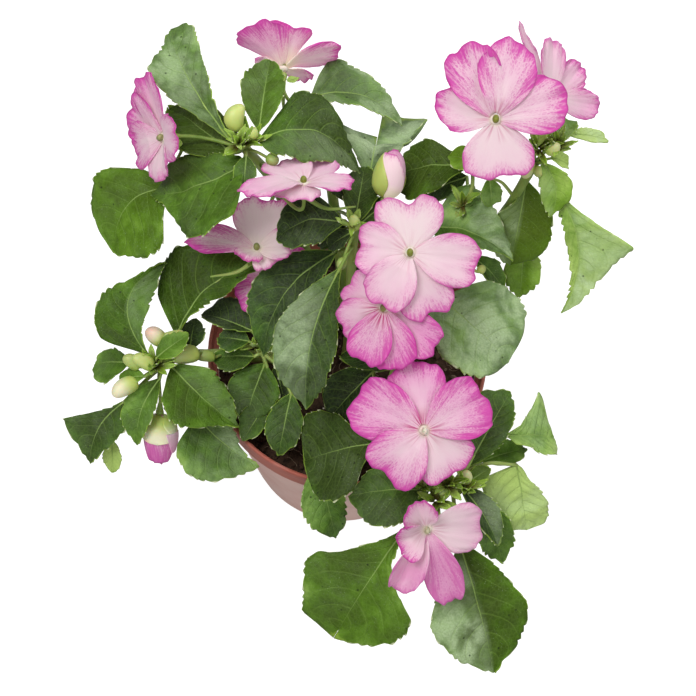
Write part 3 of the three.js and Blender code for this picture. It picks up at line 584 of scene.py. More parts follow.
            {
                "base": [46, -61, 127], "tip": [54, -54, 124], "left": 3, "right": 3, "arch": 0.5,
                "look": (0.3, 0.1, 0.1, 0.4, 0),
            },
            {
                "base": [32, -65, 127], "tip": [4, -66, 117], "left": 14, "right": 9, "arch": 3,
                "look": (0.28, 0.1, 0.12, 0.1, 0.05),
            },
            {
                "base": [25, -74, 104], "tip": [4, -107, 77], "left": 20, "right": 22, "arch": 3,
                "from": 0.93, "horn": 4.5,
                "look": (0.34, 0.02, 0.04, 0.25, 0.1),
                "leftRim": [
                    (0.25, 4), (0.4, 10.8), (0.5, 21), (0.6, 22.2), (0.73, 19.6), (0.85, 13.4), (0.95, 6),
                ],
                "rightRim": [
                    (0.1, 3), (0.25, 9), (0.4, 14.6), (0.5, 22), (0.6, 23.8), (0.7, 21.4), (0.8, 18.8),
                    (0.9, 17), (0.98, 15.5),
                ],
            },
            {
                "base": [46, -77, 106], "tip": [63, -118, 81], "left": 18, "right": 17, "arch": 3,
                "from": 0.96,
                "look": (0.32, 0.0, 0.8, 0.2, 0.1),
                "leftRim": [
                    (0.1, 5.4), (0.2, 9.6), (0.33, 13), (0.53, 17.5), (0.67, 16.4), (0.84, 10.6),
                    (0.92, 4.5),
                ],
                "rightRim": [(0.1, 4.5), (0.33, 15.4), (0.5, 19.2), (0.62, 18), (0.8, 12.5), (0.93, 4.5)],
            },
        ],
        "buds": [
            {"base": [31, -65, 129], "tip": [26.5, -61.5, 132], "wide": 3.4, "tone": 1.0},
            {"base": [38, -66, 130], "tip": [36, -68, 133], "wide": 3, "tone": 0.4},
            {
                "base": [43.5, -62, 128], "tip": [45.8, -58.4, 131.5], "wide": 4.6, "tone": 1.0,
                "cream": 0.5,
            },
        ],
        "tufts": [[38.1, -64, 130, 16], [30, -63.5, 129, 12], [45, -63.5, 128, 9], [35, -69, 127, 12]],
        "blooms": {
            "bloom_front": {
                "at": [28, -52, 151], "face": [0, -0.41, 0.91],
                "petals": [
                    [-14, 23.9, 20, 0], [56, 24.4, 21, 2], [138, 18.6, 21, 0], [-141, 21.3, 21, 2],
                    [-70, 27, 21, 1],
                ],
            },
            "bloom_low": {
                "at": [32, -80, 130], "face": [0.08, -0.7, 0.71],
                "petals": [
                    [91, 19.6, 19, 2], [162, 31, 13.5, 0], [-152, 25.2, 11.5, 6], [-102, 11.5, 14, 10],
                    [-20, 15, 12, 14],
                ],
            },
        },
    },
}


# How far the margin colour of each petal goes: (depth, spread in millimetres, pinkness, throat),
# in the order of the petals above, and the eye's tone from green to white. A throat below nought
# is greenish cream, and such a petal glows more, painted light that brightens it. A form is the
# roundness of a petal's end, its notch and its fold.
petalLooks = {
    "bloom_far_left": {
        "eye": 0.2,
        "petals": [
            (1.0, 10, 0.7, 0.3), (0.9, 8, 0.6, 0.2), (0.7, 6, 0.6, 0.2), (1.0, 10, 0.7, 0.3),
            (1.0, 11, 0.7, 0.3),
        ],
        "forms": [(0.7, 0.04, 0), (0.7, 0.06, 0), (0.7, 0.05, 1), (0.6, 0.05, 0), (0.6, 0.06, 0)],
    },
    "bloom_left_upper": {
        "eye": 0.0,
        "petals": [
            (0.8, 4, 0.9, 0.4), (0.8, 5, 0.8, 0.4), (0.6, 3, 0.8, 0.4), (0.8, 5, 0.8, 0.4),
            (0.7, 4, 0.8, 0.4),
        ],
        "forms": [(0.8, 0.05, 0), (1.0, 0.03, 0), (0.7, 0.05, 0), (1.2, 0.03, 0), (0.8, 0.05, 0)],
    },
    "bloom_left_lower": {
        "eye": 0.1,
        "petals": [
            (1.0, 5, 0.0, -0.3), (0.8, 4, 0.1, -0.2), (0.7, 3, 0.1, -0.2), (0.9, 5, 0.1, -0.2),
            (1.0, 14, 0.1, -0.2),
        ],
        "forms": [(0.8, 0.05, 0), (0.7, 0.05, 0), (0.7, 0.05, 0), (0.6, 0.05, 0), (0.9, 0.03, 0)],
    },
    "bloom_back": {
        "eye": 0.2,
        "petals": [
            (1.0, 10, 0.4, -0.7), (1.0, 14, 0.9, -0.5), (0.7, 5, 0.2, -0.5), (0.9, 6, 0.5, -0.5),
            (1.0, 10, 0.4, -0.7),
        ],
        "forms": [(0.6, 0.05, 0), (0.8, 0.03, 0), (0.7, 0.05, 0), (0.7, 0.05, 0), (0.6, 0.05, 0)],
        "layers": [2, 1, 0, 0, 1],
    },
    "bloom_right_front": {
        "eye": 0.0,
        "petals": [
            (1.0, 13, 0.4, 0.5), (1.0, 13, 0.4, 0.5), (0.85, 6, 0.4, 0.5), (1.0, 7, 0.4, 0.4),
            (1.0, 15, 0.4, 0.4),
        ],
        "forms": [(1.5, 0.0, 0), (1.0, 0.03, 0), (0.5, 0.05, 0), (2.4, 0.0, 0), (0.8, 0.05, 0)],
        "layers": [2, 1, 0, 0, 1],
    },
    "bloom_right_back": {
        "eye": 0.2,
        "petals": [
            (0.6, 3, 0.6, 0.1), (0.7, 5, 0.6, 0.1), (0.9, 7, 0.6, 0.1), (0.8, 6, 0.8, 0.1),
            (0.9, 6, 0.6, 0.1),
        ],
        "forms": [(1.6, 0.0, 0), (0.6, 0.04, 0), (0.7, 0.05, 0), (1.3, 0.0, 0), (0.7, 0.05, 0)],
    },
    "bloom_centre_upper": {
        "eye": 0.0,
        "petals": [
            (0.75, 6, 0.15, 0.2), (0.85, 7, 0.45, 0.4), (0.85, 8, 0.5, 0.4), (0.75, 6, 0.6, 0.4),
            (0.75, 6, 0.6, 0.4),
        ],
        "forms": [(0.6, 0.2, 0), (0.6, 0.03, 0), (0.5, 0.06, 0), (0.7, 0.04, 0), (0.5, 0.05, 0)],
    },
    "bloom_centre_lower": {
        "eye": 0.1,
        "petals": [
            (0.9, 10, 1.2, 0.5), (1.0, 14, 1.1, 0.8), (1.0, 15, 1.0, 1.0), (0.8, 7, 1.0, 0.9),
            (0.7, 6, 1.0, 0.6),
        ],
        "forms": [(0.6, 0.05, 0), (0.7, 0.05, 0), (0.8, 0.05, 0), (0.9, 0.03, 0), (0.6, 0.05, 0)],
        "layers": [0, 1, 2, 1, 0],
    },
    "bloom_hidden": {"eye": 0.1, "petals": [(1.0, 12, 1.0, 0.3)] * 5},
    "bloom_front": {
        "eye": 1.0,
        "petals": [
            (1.0, 10, 1.1, 0.7), (1.0, 14, 0.9, 0.7), (0.9, 6, 0.5, 0.4), (1.0, 10, 0.8, 0.4),
            (1.0, 15, 1.0, 1.0),
        ],
        "forms": [(0.7, 0.03, 0), (0.6, 0.06, 0), (0.5, 0.05, 0), (0.45, 0.06, 0), (0.6, 0.06, 0)],
    },
    "bloom_low": {
        "eye": 0.5,
        "petals": [
            (0.5, 4, 0.5, 0.4), (0.7, 17, 1.5, 0.2), (0.6, 4, 1.0, 0.2), (1.0, 5, 0.8, 0.2),
            (0.9, 5, 0.7, 0.3),
        ],
        "forms": [(0.6, 0.04, 0), (0.8, 0.0, 1), (1.2, 0.0, 6), (0.9, 0.02, 4), (0.7, 0.05, 3)],
    },
}

mm = 0.001  # a millimetre in Blender's metres
upward = np.array((0.0, 0.0, 1.0))


def spot(values):
    return np.array(values, float)


def unit(values):
    return values / np.linalg.norm(values)


def smoothStep(low, high, value):
    share = np.clip((value - low) / (high - low), 0, 1)
    return share * share * (3 - 2 * share)


def only(piece):
    bpy.ops.object.select_all(action="DESELECT")
    piece.select_set(True)
    bpy.context.view_layer.objects.active = piece


def copied(blank):
    piece = blank.copy()
    piece.data = blank.data.copy()
    bpy.context.collection.objects.link(piece)
    return piece


def joined(name, parts):
    only(parts[0])
    for part in parts:
        part.select_set(True)
    bpy.ops.object.join()
    piece = bpy.context.object
    piece.name = name
    return piece


def applied(piece, kind, **settings):
    only(piece)
    bpy.ops.object.modifier_add(type=kind)
    modifier = piece.modifiers[-1]
    for name, value in settings.items():
        setattr(modifier, name, value)
    bpy.ops.object.modifier_apply(modifier=modifier.name)
    return piece


def declared(piece, slotName, *nodes):
    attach(piece, "root")
    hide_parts(*nodes)
    return piece


# Colours and masks that vary over a piece are kept at its points, four values at a time.
def paint(mesh, name, *channels):
    values = np.stack([np.broadcast_to(one, len(mesh.vertices)) for one in channels], 1)
    attribute = mesh.attributes.new(name, "FLOAT_COLOR", "POINT")
    attribute.data.foreach_set("color", values.astype(np.float32).ravel())


def readPoints(mesh):
    places = np.empty(len(mesh.vertices) * 3)
    mesh.vertices.foreach_get("co", places)
    return places.reshape(-1, 3)


def movePoints(mesh, places):
    mesh.vertices.foreach_set("co", places.ravel())
    mesh.update()


# A curve through points that gives each stretch the square root of its length in time.
def curvePoint(points, share):
    last = len(points) - 1
    index = min(int(share * last), last - 1)
    weight = share * last - index
    one, two = points[index], points[index + 1]
    before = points[index - 1] if index else 2 * one - two
    after = points[index + 2] if index + 2 <= last else 2 * two - one
    early, middle, late = (
        np.linalg.norm(b - a) ** 0.5 for a, b in ((before, one), (one, two), (two, after))
    )
    leave = middle * ((one - before) / early - (two - before) / (early + middle) + (two - one) / middle)
    arrive = middle * ((two - one) / middle - (after - one) / (middle + late) + (after - two) / late)
    square = 3 * (two - one) - 2 * leave - arrive
    cube = 2 * (one - two) + leave + arrive
    return one + weight * leave + weight**2 * square + weight**3 * cube


def curvePoints(points, count):
    return np.array([curvePoint(points, i / (count - 1)) for i in range(count)])


# The place and direction at a share of a curve's length.
def onCurve(points, share):
    samples = curvePoints(points, 200)
    steps = np.linalg.norm(np.diff(samples, axis=0), axis=1)
    lengths = np.concatenate(([0], np.cumsum(steps)))
    wanted = [np.clip(share + shift, 0, 1) * lengths[-1] for shift in (-0.01, 0, 0.01)]
    early, place, late = (
        np.array([np.interp(length, lengths, samples[:, axis]) for axis in range(3)]) for length in wanted
    )
    return place, unit(late - early)


# Round stalks, stems and fibres: each is a line of places with a radius at each, in one curve
# object that is then made a mesh.
def tubes(name, strokes, finish):
    data = bpy.data.curves.new(name, "CURVE")
    data.dimensions = "3D"
    data.bevel_depth = 1
    data.bevel_resolution = 2
    data.use_fill_caps = True
    data.materials.append(finish)
    for places, radii in strokes:
        spline = data.splines.new("POLY")
        spline.points.add(len(places) - 1)
        for knot, place, radius in zip(spline.points, places, radii):
            knot.co = (*(place * mm), 1)
            knot.radius = radius * mm
    piece = bpy.data.objects.new(name, data)
    bpy.context.collection.objects.link(piece)
    only(piece)
    bpy.ops.object.convert(target="MESH")
    return bpy.context.object


# A closed piece raised on a disc through a profile of (radius, height) points.
def turned(name, profile, sides, finish):
    radius, height = profile[0]
    bpy.ops.mesh.primitive_circle_add(
        vertices=sides, radius=radius * mm, fill_type="NGON", location=(0, 0, height * mm)
    )
    piece = bpy.context.object
    piece.name = name
    bpy.ops.object.transform_apply(location=True, rotation=False, scale=False)
    bpy.ops.object.mode_set(mode="EDIT")
    bpy.ops.mesh.select_all(action="SELECT")
    for nextRadius, nextHeight in profile[1:]:
        bpy.ops.mesh.extrude_region()
        bpy.ops.transform.translate(value=(0, 0, (nextHeight - height) * mm))
        grown = nextRadius / radius
        bpy.ops.transform.resize(value=(grown, grown, 1), center_override=(0, 0, nextHeight * mm))
        radius, height = nextRadius, nextHeight
    bpy.ops.mesh.select_all(action="SELECT")
    bpy.ops.mesh.normals_make_consistent(inside=False)
    bpy.ops.object.mode_set(mode="OBJECT")
    piece.data.materials.append(finish)
    return piece


def tint(code):
    values = [int(code[i : i + 2], 16) / 255 for i in (0, 2, 4)]
    return (*(v / 12.92 if v <= 0.04045 else ((v + 0.055) / 1.055) ** 2.4 for v in values), 1)


def feed(tree, value, socket):
    if isinstance(value, bpy.types.NodeSocket):
        tree.links.new(value, socket)
    else:
        socket.default_value = value


def put(tree, kind, sockets=None, **settings):
    made = tree.nodes.new("ShaderNode" + kind)
    for name, value in settings.items():
        setattr(made, name, value)
    for name, value in (sockets or {}).items():
        feed(tree, value, made.inputs[name])
    return made


def calc(tree, operation, one, two=0.0):
    return put(tree, "Math", {0: one, 1: two}, operation=operation).outputs[0]


def times(tree, one, two):
    return calc(tree, "MULTIPLY", one, two)


def plus(tree, one, two):
    return calc(tree, "ADD", one, two)


def minus(tree, one, two):
    return calc(tree, "SUBTRACT", one, two)


def step(tree, value, low, high, start=0.0, end=1.0):
    sockets = {"Value": value, "From Min": low, "From Max": high, "To Min": start, "To Max": end}
    return put(tree, "MapRange", sockets, interpolation_type="SMOOTHSTEP").outputs["Result"]


def blend(tree, share, one, two, mode="MIX"):
    made = put(tree, "Mix", {0: share, 6: one, 7: two}, data_type="RGBA", blend_type=mode)
    return made.outputs[2]


def speckle(tree, place, scale, detail=2.0, rough=0.5, distort=0.0):
    sockets = {"Vector": place, "Scale": scale, "Detail": detail, "Roughness": rough, "Distortion": distort}
    return put(tree, "TexNoise", sockets).outputs["Fac"]


def raised(tree, height, strength, distance):
    return put(tree, "Bump", {"Height": height, "Strength": strength, "Distance": distance}).outputs[0]


def painted(tree, name):
    made = put(tree, "Attribute", attribute_name=name, attribute_type="GEOMETRY")
    parts = put(tree, "SeparateColor", {"Color": made.outputs["Color"]})
    return [*parts.outputs[:3], made.outputs["Alpha"]]


def newFinish(name, **settings):
    material = bpy.data.materials.new(name)
    material.use_nodes = True
    tree = material.node_tree
    tree.nodes.clear()
    shader = put(tree, "BsdfPrincipled")
    output = put(tree, "OutputMaterial")
    tree.links.new(shader.outputs[0], output.inputs["Surface"])
    for socket, value in settings.items():
        shader.inputs[socket.replace("_", " ")].default_value = value
    return material, tree, shader


def newGroup(name, inputs, outputs):
    tree = bpy.data.node_groups.new(name, "ShaderNodeTree")
    for label, kind in inputs.items():
        tree.interface.new_socket(name=label, in_out="INPUT", socket_type="NodeSocket" + kind)
    for label, kind in outputs.items():
        tree.interface.new_socket(name=label, in_out="OUTPUT", socket_type="NodeSocket" + kind)
    return tree, tree.nodes.new("NodeGroupInput").outputs, tree.nodes.new("NodeGroupOutput").inputs


def placed(tree, group, sockets):
    made = tree.nodes.new("ShaderNodeGroup")
    made.node_tree = group
    for name, value in sockets.items():
        feed(tree, value, made.inputs[name])
    return made.outputs


# The veins of a blade: a tapering midrib, side veins that climb towards the tip, a fine net
# between them, and the thin bright line along the toothed margin with its pale tooth tips.
def leafVeins():
    inputs = {"Shares": "Vector", "Place": "Vector", "Across": "Float", "Edge": "Float", "Tooth": "Float"}
    outputs = {"Midrib": "Float", "Veins": "Float", "Net": "Float", "Margin": "Float", "Tips": "Float"}
    tree, given, gives = newGroup("leafVeins", inputs, outputs)
    parts = put(tree, "SeparateXYZ", {0: given["Shares"]}).outputs
    halfShare = minus(tree, times(tree, parts[0], 2.0), 1.0)
    out = calc(tree, "ABSOLUTE", halfShare)
    width = minus(tree, 0.62, times(tree, parts[1], 0.5))
    rib = calc(tree, "DIVIDE", given["Across"], times(tree, width, 0.72))
    ribLine = step(tree, rib, 0.35, 1.0, 1.0, 0.0)
    feed(tree, times(tree, ribLine, step(tree, parts[1], 0.25, 0.95, 1.0, 0.25)), gives["Midrib"])
    wander = speckle(tree, given["Place"], 90.0, 1.0)
    climb = times(tree, calc(tree, "POWER", out, 1.5), 0.3)
    along = plus(tree, minus(tree, parts[1], climb), times(tree, wander, 0.03))
    side = times(tree, calc(tree, "GREATER_THAN", halfShare, 0.0), 0.5)
    wave = calc(tree, "FRACT", plus(tree, times(tree, along, 6.5), side))
    near = calc(tree, "ABSOLUTE", minus(tree, wave, 0.5))
    line = step(tree, near, 0.015, 0.085, 1.0, 0.0)
    feed(tree, times(tree, line, step(tree, out, 0.55, 0.97, 1.0, 0.1)), gives["Veins"])
    cells = put(tree, "TexVoronoi", {"Vector": given["Place"], "Scale": 620.0}, feature="DISTANCE_TO_EDGE")
    feed(tree, step(tree, cells.outputs["Distance"], 0.0, 0.2, 1.0, 0.0), gives["Net"])
    rimLine = step(tree, given["Edge"], 0.08, 0.38, 1.0, 0.0)
    feed(tree, times(tree, rimLine, step(tree, wander, 0.3, 0.6, 0.35, 1.0)), gives["Margin"])
    tips = times(tree, step(tree, given["Edge"], 0.2, 0.8, 1.0, 0.0), step(tree, given["Tooth"], 0.7, 0.9))
    feed(tree, tips, gives["Tips"])
    return tree


veinGroup = leafVeins()
leafTints = {
    "deep": tint("141f09"),
    "dark": tint("27450c"),
    "middle": tint("5a8a1b"),
    "pale": tint("cbe386"),
    "yellow": tint("8fb420"),
    "vein": tint("86a84a"),
    "midrib": tint("93b05e"),
    "margin": tint("9ab945"),
    "brown": tint("4a2f14"),
    "spot": tint("12150c"),
    "glint": tint("b4c8a6"),
    "tip": tint("d9e0b4"),
    "sheen": tint("c0d6a8"),
    "under": tint("93ad74"),
    "underVein": tint("b9cc97"),
}


# Both faces of a blade share the veins; the underside is paler and duller, its veins stand out.
def leafFinish(name, under):
    material, tree, shader = newFinish(name, Roughness=0.5, IOR=1.4)
    shader.inputs["Specular IOR Level"].default_value = 0.22
    shares = put(tree, "UVMap").outputs[0]
    length = put(tree, "SeparateXYZ", {0: shares}).outputs[1]
    place = put(tree, "TexCoord").outputs["Object"]
    tone, sheen, yellow, specks = painted(tree, "leafLook")
    across, edge, tooth, young = painted(tree, "leafPlace")
    veins = placed(tree, veinGroup, {
        "Shares": shares,
        "Place": place,
        "Across": across,
        "Edge": edge,
        "Tooth": tooth,
    })
    broad = speckle(tree, place, 45.0, 2.0)
    fine = speckle(tree, place, 420.0, 3.0, 0.6)
    middling = speckle(tree, place, 150.0, 3.0, 0.55, 0.5)
    grain = plus(tree, times(tree, broad, 0.9), times(tree, fine, 0.22))
    grain = plus(tree, grain, minus(tree, times(tree, middling, 0.6), 0.59))
    # Painted light: the blade is a little lighter near its margin, fading out 7 mm in.
    grain = plus(tree, grain, step(tree, edge, 0.0, 7.0, 0.1, 0.0))
    shade = plus(tree, times(tree, minus(tree, tone, 0.34), 1.85), grain)
    ramp = put(tree, "ValToRGB", {"Fac": shade})
    ramp.color_ramp.interpolation = "B_SPLINE"
    stops = [(0.0, "deep"), (0.3, "dark"), (0.6, "middle"), (1.0, "pale")]
    while len(ramp.color_ramp.elements) < len(stops):
        ramp.color_ramp.elements.new(0.5)
    for element, (where, label) in zip(ramp.color_ramp.elements, stops):
        element.position = where
        element.color = leafTints[label]
    colour = blend(tree, times(tree, yellow, 0.55), ramp.outputs["Color"], leafTints["yellow"])
    if under:
        colour = blend(tree, 0.62, colour, leafTints["under"])
        colour = blend(tree, times(tree, veins["Veins"], 0.4), colour, leafTints["underVein"])
        colour = blend(tree, times(tree, veins["Midrib"], 0.8), colour, leafTints["underVein"])
        height = plus(tree, veins["Midrib"], veins["Veins"])
    else:
        # Painted sheen: a pale grey-green veil in patches and fine flecks, stronger towards the tip, stands
        # in for light reflected off the blade; painted glints are small highlights on the same patches.
        patches = step(tree, speckle(tree, place, 70.0, 3.0, 0.55, 0.8), 0.38, 0.62)
        flecks = step(tree, speckle(tree, place, 1500.0, 1.0), 0.35, 0.7, 0.78, 1.0)
        paintedSheen = times(tree, times(tree, sheen, plus(tree, 0.3, times(tree, patches, 0.7))), flecks)
        paintedSheen = times(tree, paintedSheen, step(tree, length, 0.05, 0.6, 0.35, 0.85))
        colour = blend(tree, paintedSheen, colour, leafTints["sheen"])
        colour = blend(tree, times(tree, veins["Veins"], 0.17), colour, leafTints["vein"])
        colour = blend(tree, times(tree, veins["Net"], 0.08), colour, leafTints["vein"])
        colour = blend(tree, times(tree, veins["Midrib"], 0.75), colour, leafTints["midrib"])
        glints = times(tree, step(tree, speckle(tree, place, 2000.0, 1.0), 0.68, 0.76), patches)
        colour = blend(tree, times(tree, glints, 0.3), colour, leafTints["glint"])
        dots = put(tree, "TexVoronoi", {"Vector": place, "Scale": 380.0})
        spotMask = step(tree, dots.outputs["Distance"], 0.1, 0.2, 1.0, 0.0)
        lot = put(tree, "SeparateColor", {0: dots.outputs["Color"]}).outputs[0]
        spots = times(tree, spotMask, calc(tree, "LESS_THAN", lot, specks))
        colour = blend(tree, times(tree, spots, 0.7), colour, leafTints["spot"])
        height = minus(tree, 0.0, plus(tree, veins["Midrib"], times(tree, veins["Veins"], 0.8)))
    colour = blend(tree, times(tree, veins["Margin"], 0.7), colour, leafTints["margin"])
    colour = blend(tree, veins["Tips"], colour, leafTints["tip"])
    packed = times(tree, young, step(tree, length, 0.1, 0.8, 0.95, 0.0))
    colour = blend(tree, packed, colour, leafTints["brown"])
    height = minus(tree, height, times(tree, veins["Net"], 0.35))
    height = plus(tree, height, times(tree, fine, 0.7))
    feed(tree, colour, shader.inputs["Base Color"])
    feed(tree, raised(tree, height, 0.55, 0.0004), shader.inputs["Normal"])
    rough = plus(tree, 0.62 if under else 0.4, times(tree, fine, 0.2))
    feed(tree, rough, shader.inputs["Roughness"])
    return material


# Fleshy green stalks and stems, a little translucent, with lengthwise streaks of paler green.
def stalkFinish(name, dark, pale, blush):
    material, tree, shader = newFinish(name, Roughness=0.42, IOR=1.4)
    shader.inputs["Specular IOR Level"].default_value = 0.35
    shader.inputs["Subsurface Weight"].default_value = 0.15
    shader.inputs["Subsurface Scale"].default_value = 0.0015
    place = put(tree, "TexCoord").outputs["Object"]
    stretched = put(tree, "Mapping", {"Vector": place, "Scale": (900.0, 900.0, 120.0)}).outputs[0]
    broad = speckle(tree, place, 60.0, 2.0)
    streak = speckle(tree, stretched, 1.0, 2.0)
    colour = blend(tree, step(tree, broad, 0.3, 0.7), dark, pale)
    colour = blend(tree, times(tree, step(tree, streak, 0.5, 0.8), 0.35), colour, pale)
    low = put(tree, "SeparateXYZ", {0: place}).outputs[2]
    colour = blend(tree, step(tree, low, 0.085, 0.11, 0.6, 0.0), colour, blush)
    feed(tree, colour, shader.inputs["Base Color"])
    feed(tree, raised(tree, streak, 0.3, 0.0002), shader.inputs["Normal"])
    return material


# Colour runs in from a petal's margin along lines that fan out from the heart, broken by pale
# flecks, and a few crimson lines leave the throat.
def petalMottle():
    inputs = {"Long": "Float", "Across": "Float", "Edge": "Float", "Chance": "Float", "Spread": "Float"}
    outputs = {"Margin": "Float", "Rim": "Float", "Throat": "Float", "Lines": "Float", "Heart": "Float"}
    tree, given, gives = newGroup("petalMottle", inputs, outputs)
    angle = calc(tree, "ARCTAN2", given["Across"], given["Long"])
    square = plus(tree, calc(tree, "POWER", given["Long"], 2.0), calc(tree, "POWER", given["Across"], 2.0))
    radius = calc(tree, "SQRT", square)
    seed = times(tree, given["Chance"], 60.0)

    def fan(turns, rings):
        sockets = {0: times(tree, angle, turns), 1: times(tree, radius, rings), 2: seed}
        return put(tree, "CombineXYZ", sockets).outputs[0]

    streak = speckle(tree, fan(26.0, 0.12), 1.0, 3.0)
    broad = speckle(tree, fan(5.0, 0.1), 1.0, 1.0)
    fleck = speckle(tree, fan(64.0, 0.42), 1.0, 3.0)
    lines = speckle(tree, fan(6.5, 0.04), 1.0, 1.0)
    sockets = {"Vector": fan(25.0, 0.65), "Scale": 1.0}
    cells = put(tree, "TexVoronoi", sockets, feature="DISTANCE_TO_EDGE")
    lace = step(tree, cells.outputs["Distance"], 0.03, 0.22, 1.0, 0.0)
    reach = times(tree, given["Spread"], plus(tree, 0.35, times(tree, broad, 1.3)))
    shift = times(tree, minus(tree, streak, 0.5), times(tree, reach, 0.9))
    inward = calc(tree, "DIVIDE", plus(tree, given["Edge"], shift), reach)
    margin = step(tree, inward, 0.0, 1.0, 1.0, 0.0)
    gaps = calc(tree, "MAXIMUM", times(tree, step(tree, fleck, 0.44, 0.6), 0.75), lace)
    gaps = times(tree, gaps, step(tree, inward, 0.0, 0.4))
    feed(tree, times(tree, margin, minus(tree, 1.0, times(tree, gaps, 0.75))), gives["Margin"])
    feed(tree, step(tree, given["Edge"], 0.1, 0.9, 1.0, 0.0), gives["Rim"])
    near = step(tree, radius, 2.5, 9.5, 1.0, 0.0)
    feed(tree, times(tree, near, step(tree, lines, 0.5, 0.6)), gives["Throat"])
    feed(tree, streak, gives["Lines"])
    feed(tree, step(tree, radius, 1.2, 3.2, 1.0, 0.0), gives["Heart"])
    return tree


mottleGroup = petalMottle()
petalTints = {
    "cream": tint("dfcdcc"),
    "pink": tint("d89cbc"),
    "magenta": tint("c0489a"),
    "deep": tint("aa3184"),
    "throat": tint("b23c72"),
    "heart": tint("e3e3bb"),
    "green": tint("dde3a6"),
}


def petalFinish():
    material, tree, shader = newFinish("petalSilk", Roughness=0.62, IOR=1.35)
    shader.inputs["Specular IOR Level"].default_value = 0.22
    shader.inputs["Subsurface Weight"].default_value = 0.45
    shader.inputs["Subsurface Scale"].default_value = 0.0015
    shader.inputs["Subsurface Radius"].default_value = (1.0, 0.7, 0.9)
    shader.inputs["Sheen Weight"].default_value = 0.12
    place = put(tree, "TexCoord").outputs["Object"]
    long, across, edge, chance = painted(tree, "petalPlace")
    depth, spread, pinkness, throat = painted(tree, "petalLook")
    mottle = placed(tree, mottleGroup, {
        "Long": long, "Across": across, "Edge": edge, "Chance": chance, "Spread": spread,
    })
    cloud = speckle(tree, place, 110.0, 2.0)
    grain = speckle(tree, place, 2600.0, 1.0)
    away = step(tree, long, 3.0, 20.0, 0.35, 1.0)
    share = times(tree, times(tree, pinkness, away), plus(tree, 0.45, cloud))
    colour = blend(tree, share, petalTints["cream"], petalTints["pink"])
    colour = blend(tree, times(tree, mottle["Lines"], 0.3), colour, petalTints["pink"])
    colour = blend(tree, times(tree, mottle["Margin"], depth), colour, petalTints["magenta"])
    strong = times(tree, mottle["Rim"], step(tree, depth, 0.4, 1.0, 0.15, 0.75))
    colour = blend(tree, strong, colour, petalTints["deep"])
    flush = times(tree, mottle["Throat"], calc(tree, "MAXIMUM", throat, 0.0))
    colour = blend(tree, flush, colour, petalTints["throat"])
    pale = calc(tree, "MAXIMUM", times(tree, throat, -1.0), 0.0)
    green = times(tree, pale, step(tree, long, 2.0, 8.5, 0.55, 0.0))
    colour = blend(tree, green, colour, petalTints["green"])
    colour = blend(tree, times(tree, mottle["Heart"], 0.4), colour, petalTints["heart"])
    feed(tree, colour, shader.inputs["Base Color"])
    # Painted glow: the petals give off a little of their own colour, more where the throat is pale, in
    # place of light that comes through them from behind.
    feed(tree, colour, shader.inputs["Emission Color"])
    behind = plus(tree, times(tree, pale, 0.3), 0.1)  # light that comes through the petal
    feed(tree, behind, shader.inputs["Emission Strength"])
    height = plus(tree, mottle["Lines"], times(tree, grain, 0.5))
    feed(tree, raised(tree, height, 0.25, 0.0002), shader.inputs["Normal"])
    return material


def eyeFinish():
    material, tree, shader = newFinish("flowerEye", Roughness=0.5)
    shader.inputs["Subsurface Weight"].default_value = 0.2
    shader.inputs["Subsurface Scale"].default_value = 0.001
    tone = painted(tree, "eyeLook")[0]
    place = put(tree, "TexCoord").outputs["Object"]
    grain = speckle(tree, place, 900.0, 2.0)
    colour = blend(tree, tone, tint("7d8426"), tint("e6dccb"))
    colour = blend(tree, times(tree, step(tree, grain, 0.4, 0.7), 0.55), colour, tint("4f5a1c"))
    feed(tree, colour, shader.inputs["Base Color"])
    feed(tree, raised(tree, grain, 0.5, 0.0003), shader.inputs["Normal"])
    return material


# Buds and sepals: yellow-green, turning cream and pink towards the tip.
def budFinish():
    material, tree, shader = newFinish("budSkin", Roughness=0.45)
    shader.inputs["Subsurface Weight"].default_value = 0.2
    shader.inputs["Subsurface Scale"].default_value = 0.001
    tone, along, pink, cream = painted(tree, "budLook")
    place = put(tree, "TexCoord").outputs["Object"]
    grain = speckle(tree, place, 300.0, 2.0)
    colour = blend(tree, tone, tint("5f8a24"), tint("c8d670"))
    colour = blend(tree, times(tree, grain, 0.3), colour, tint("6f9430"))
    colour = blend(tree, times(tree, step(tree, along, 0.2, 0.75), cream), colour, tint("efe8c4"))
    colour = blend(tree, times(tree, step(tree, along, 0.3, 0.95), pink), colour, tint("ecc9b4"))
    feed(tree, colour, shader.inputs["Base Color"])
    feed(tree, raised(tree, grain, 0.4, 0.0003), shader.inputs["Normal"])
    return material


# Nursery plastic: brown at the rim and paler on the wall under it.
def potFinish():
    material, tree, shader = newFinish("potPlastic", Roughness=0.5)
    shader.inputs["Specular IOR Level"].default_value = 0.35
    place = put(tree, "TexCoord").outputs["Object"]
    height = put(tree, "SeparateXYZ", {0: place}).outputs[2]
    cloud = speckle(tree, place, 30.0, 4.0, 0.6)
    stretched = put(tree, "Mapping", {"Vector": place, "Scale": (60.0, 60.0, 900.0)}).outputs[0]
    scuffs = speckle(tree, stretched, 1.0, 3.0)
    wall = blend(tree, step(tree, cloud, 0.3, 0.7), tint("e6b3a6"), tint("f2cdc3"))
    rim = blend(tree, step(tree, cloud, 0.35, 0.65), tint("a85a4a"), tint("bc7060"))
    colour = blend(tree, step(tree, height, 0.0848, 0.0853), wall, rim)
    inner = times(tree, step(tree, scuffs, 0.55, 0.75), 0.2)
    colour = blend(tree, inner, colour, tint("e3cdc6"))
    feed(tree, colour, shader.inputs["Base Color"])
    feed(tree, plus(tree, 0.42, times(tree, cloud, 0.2)), shader.inputs["Roughness"])
    feed(tree, raised(tree, scuffs, 0.2, 0.0002), shader.inputs["Normal"])
    return material


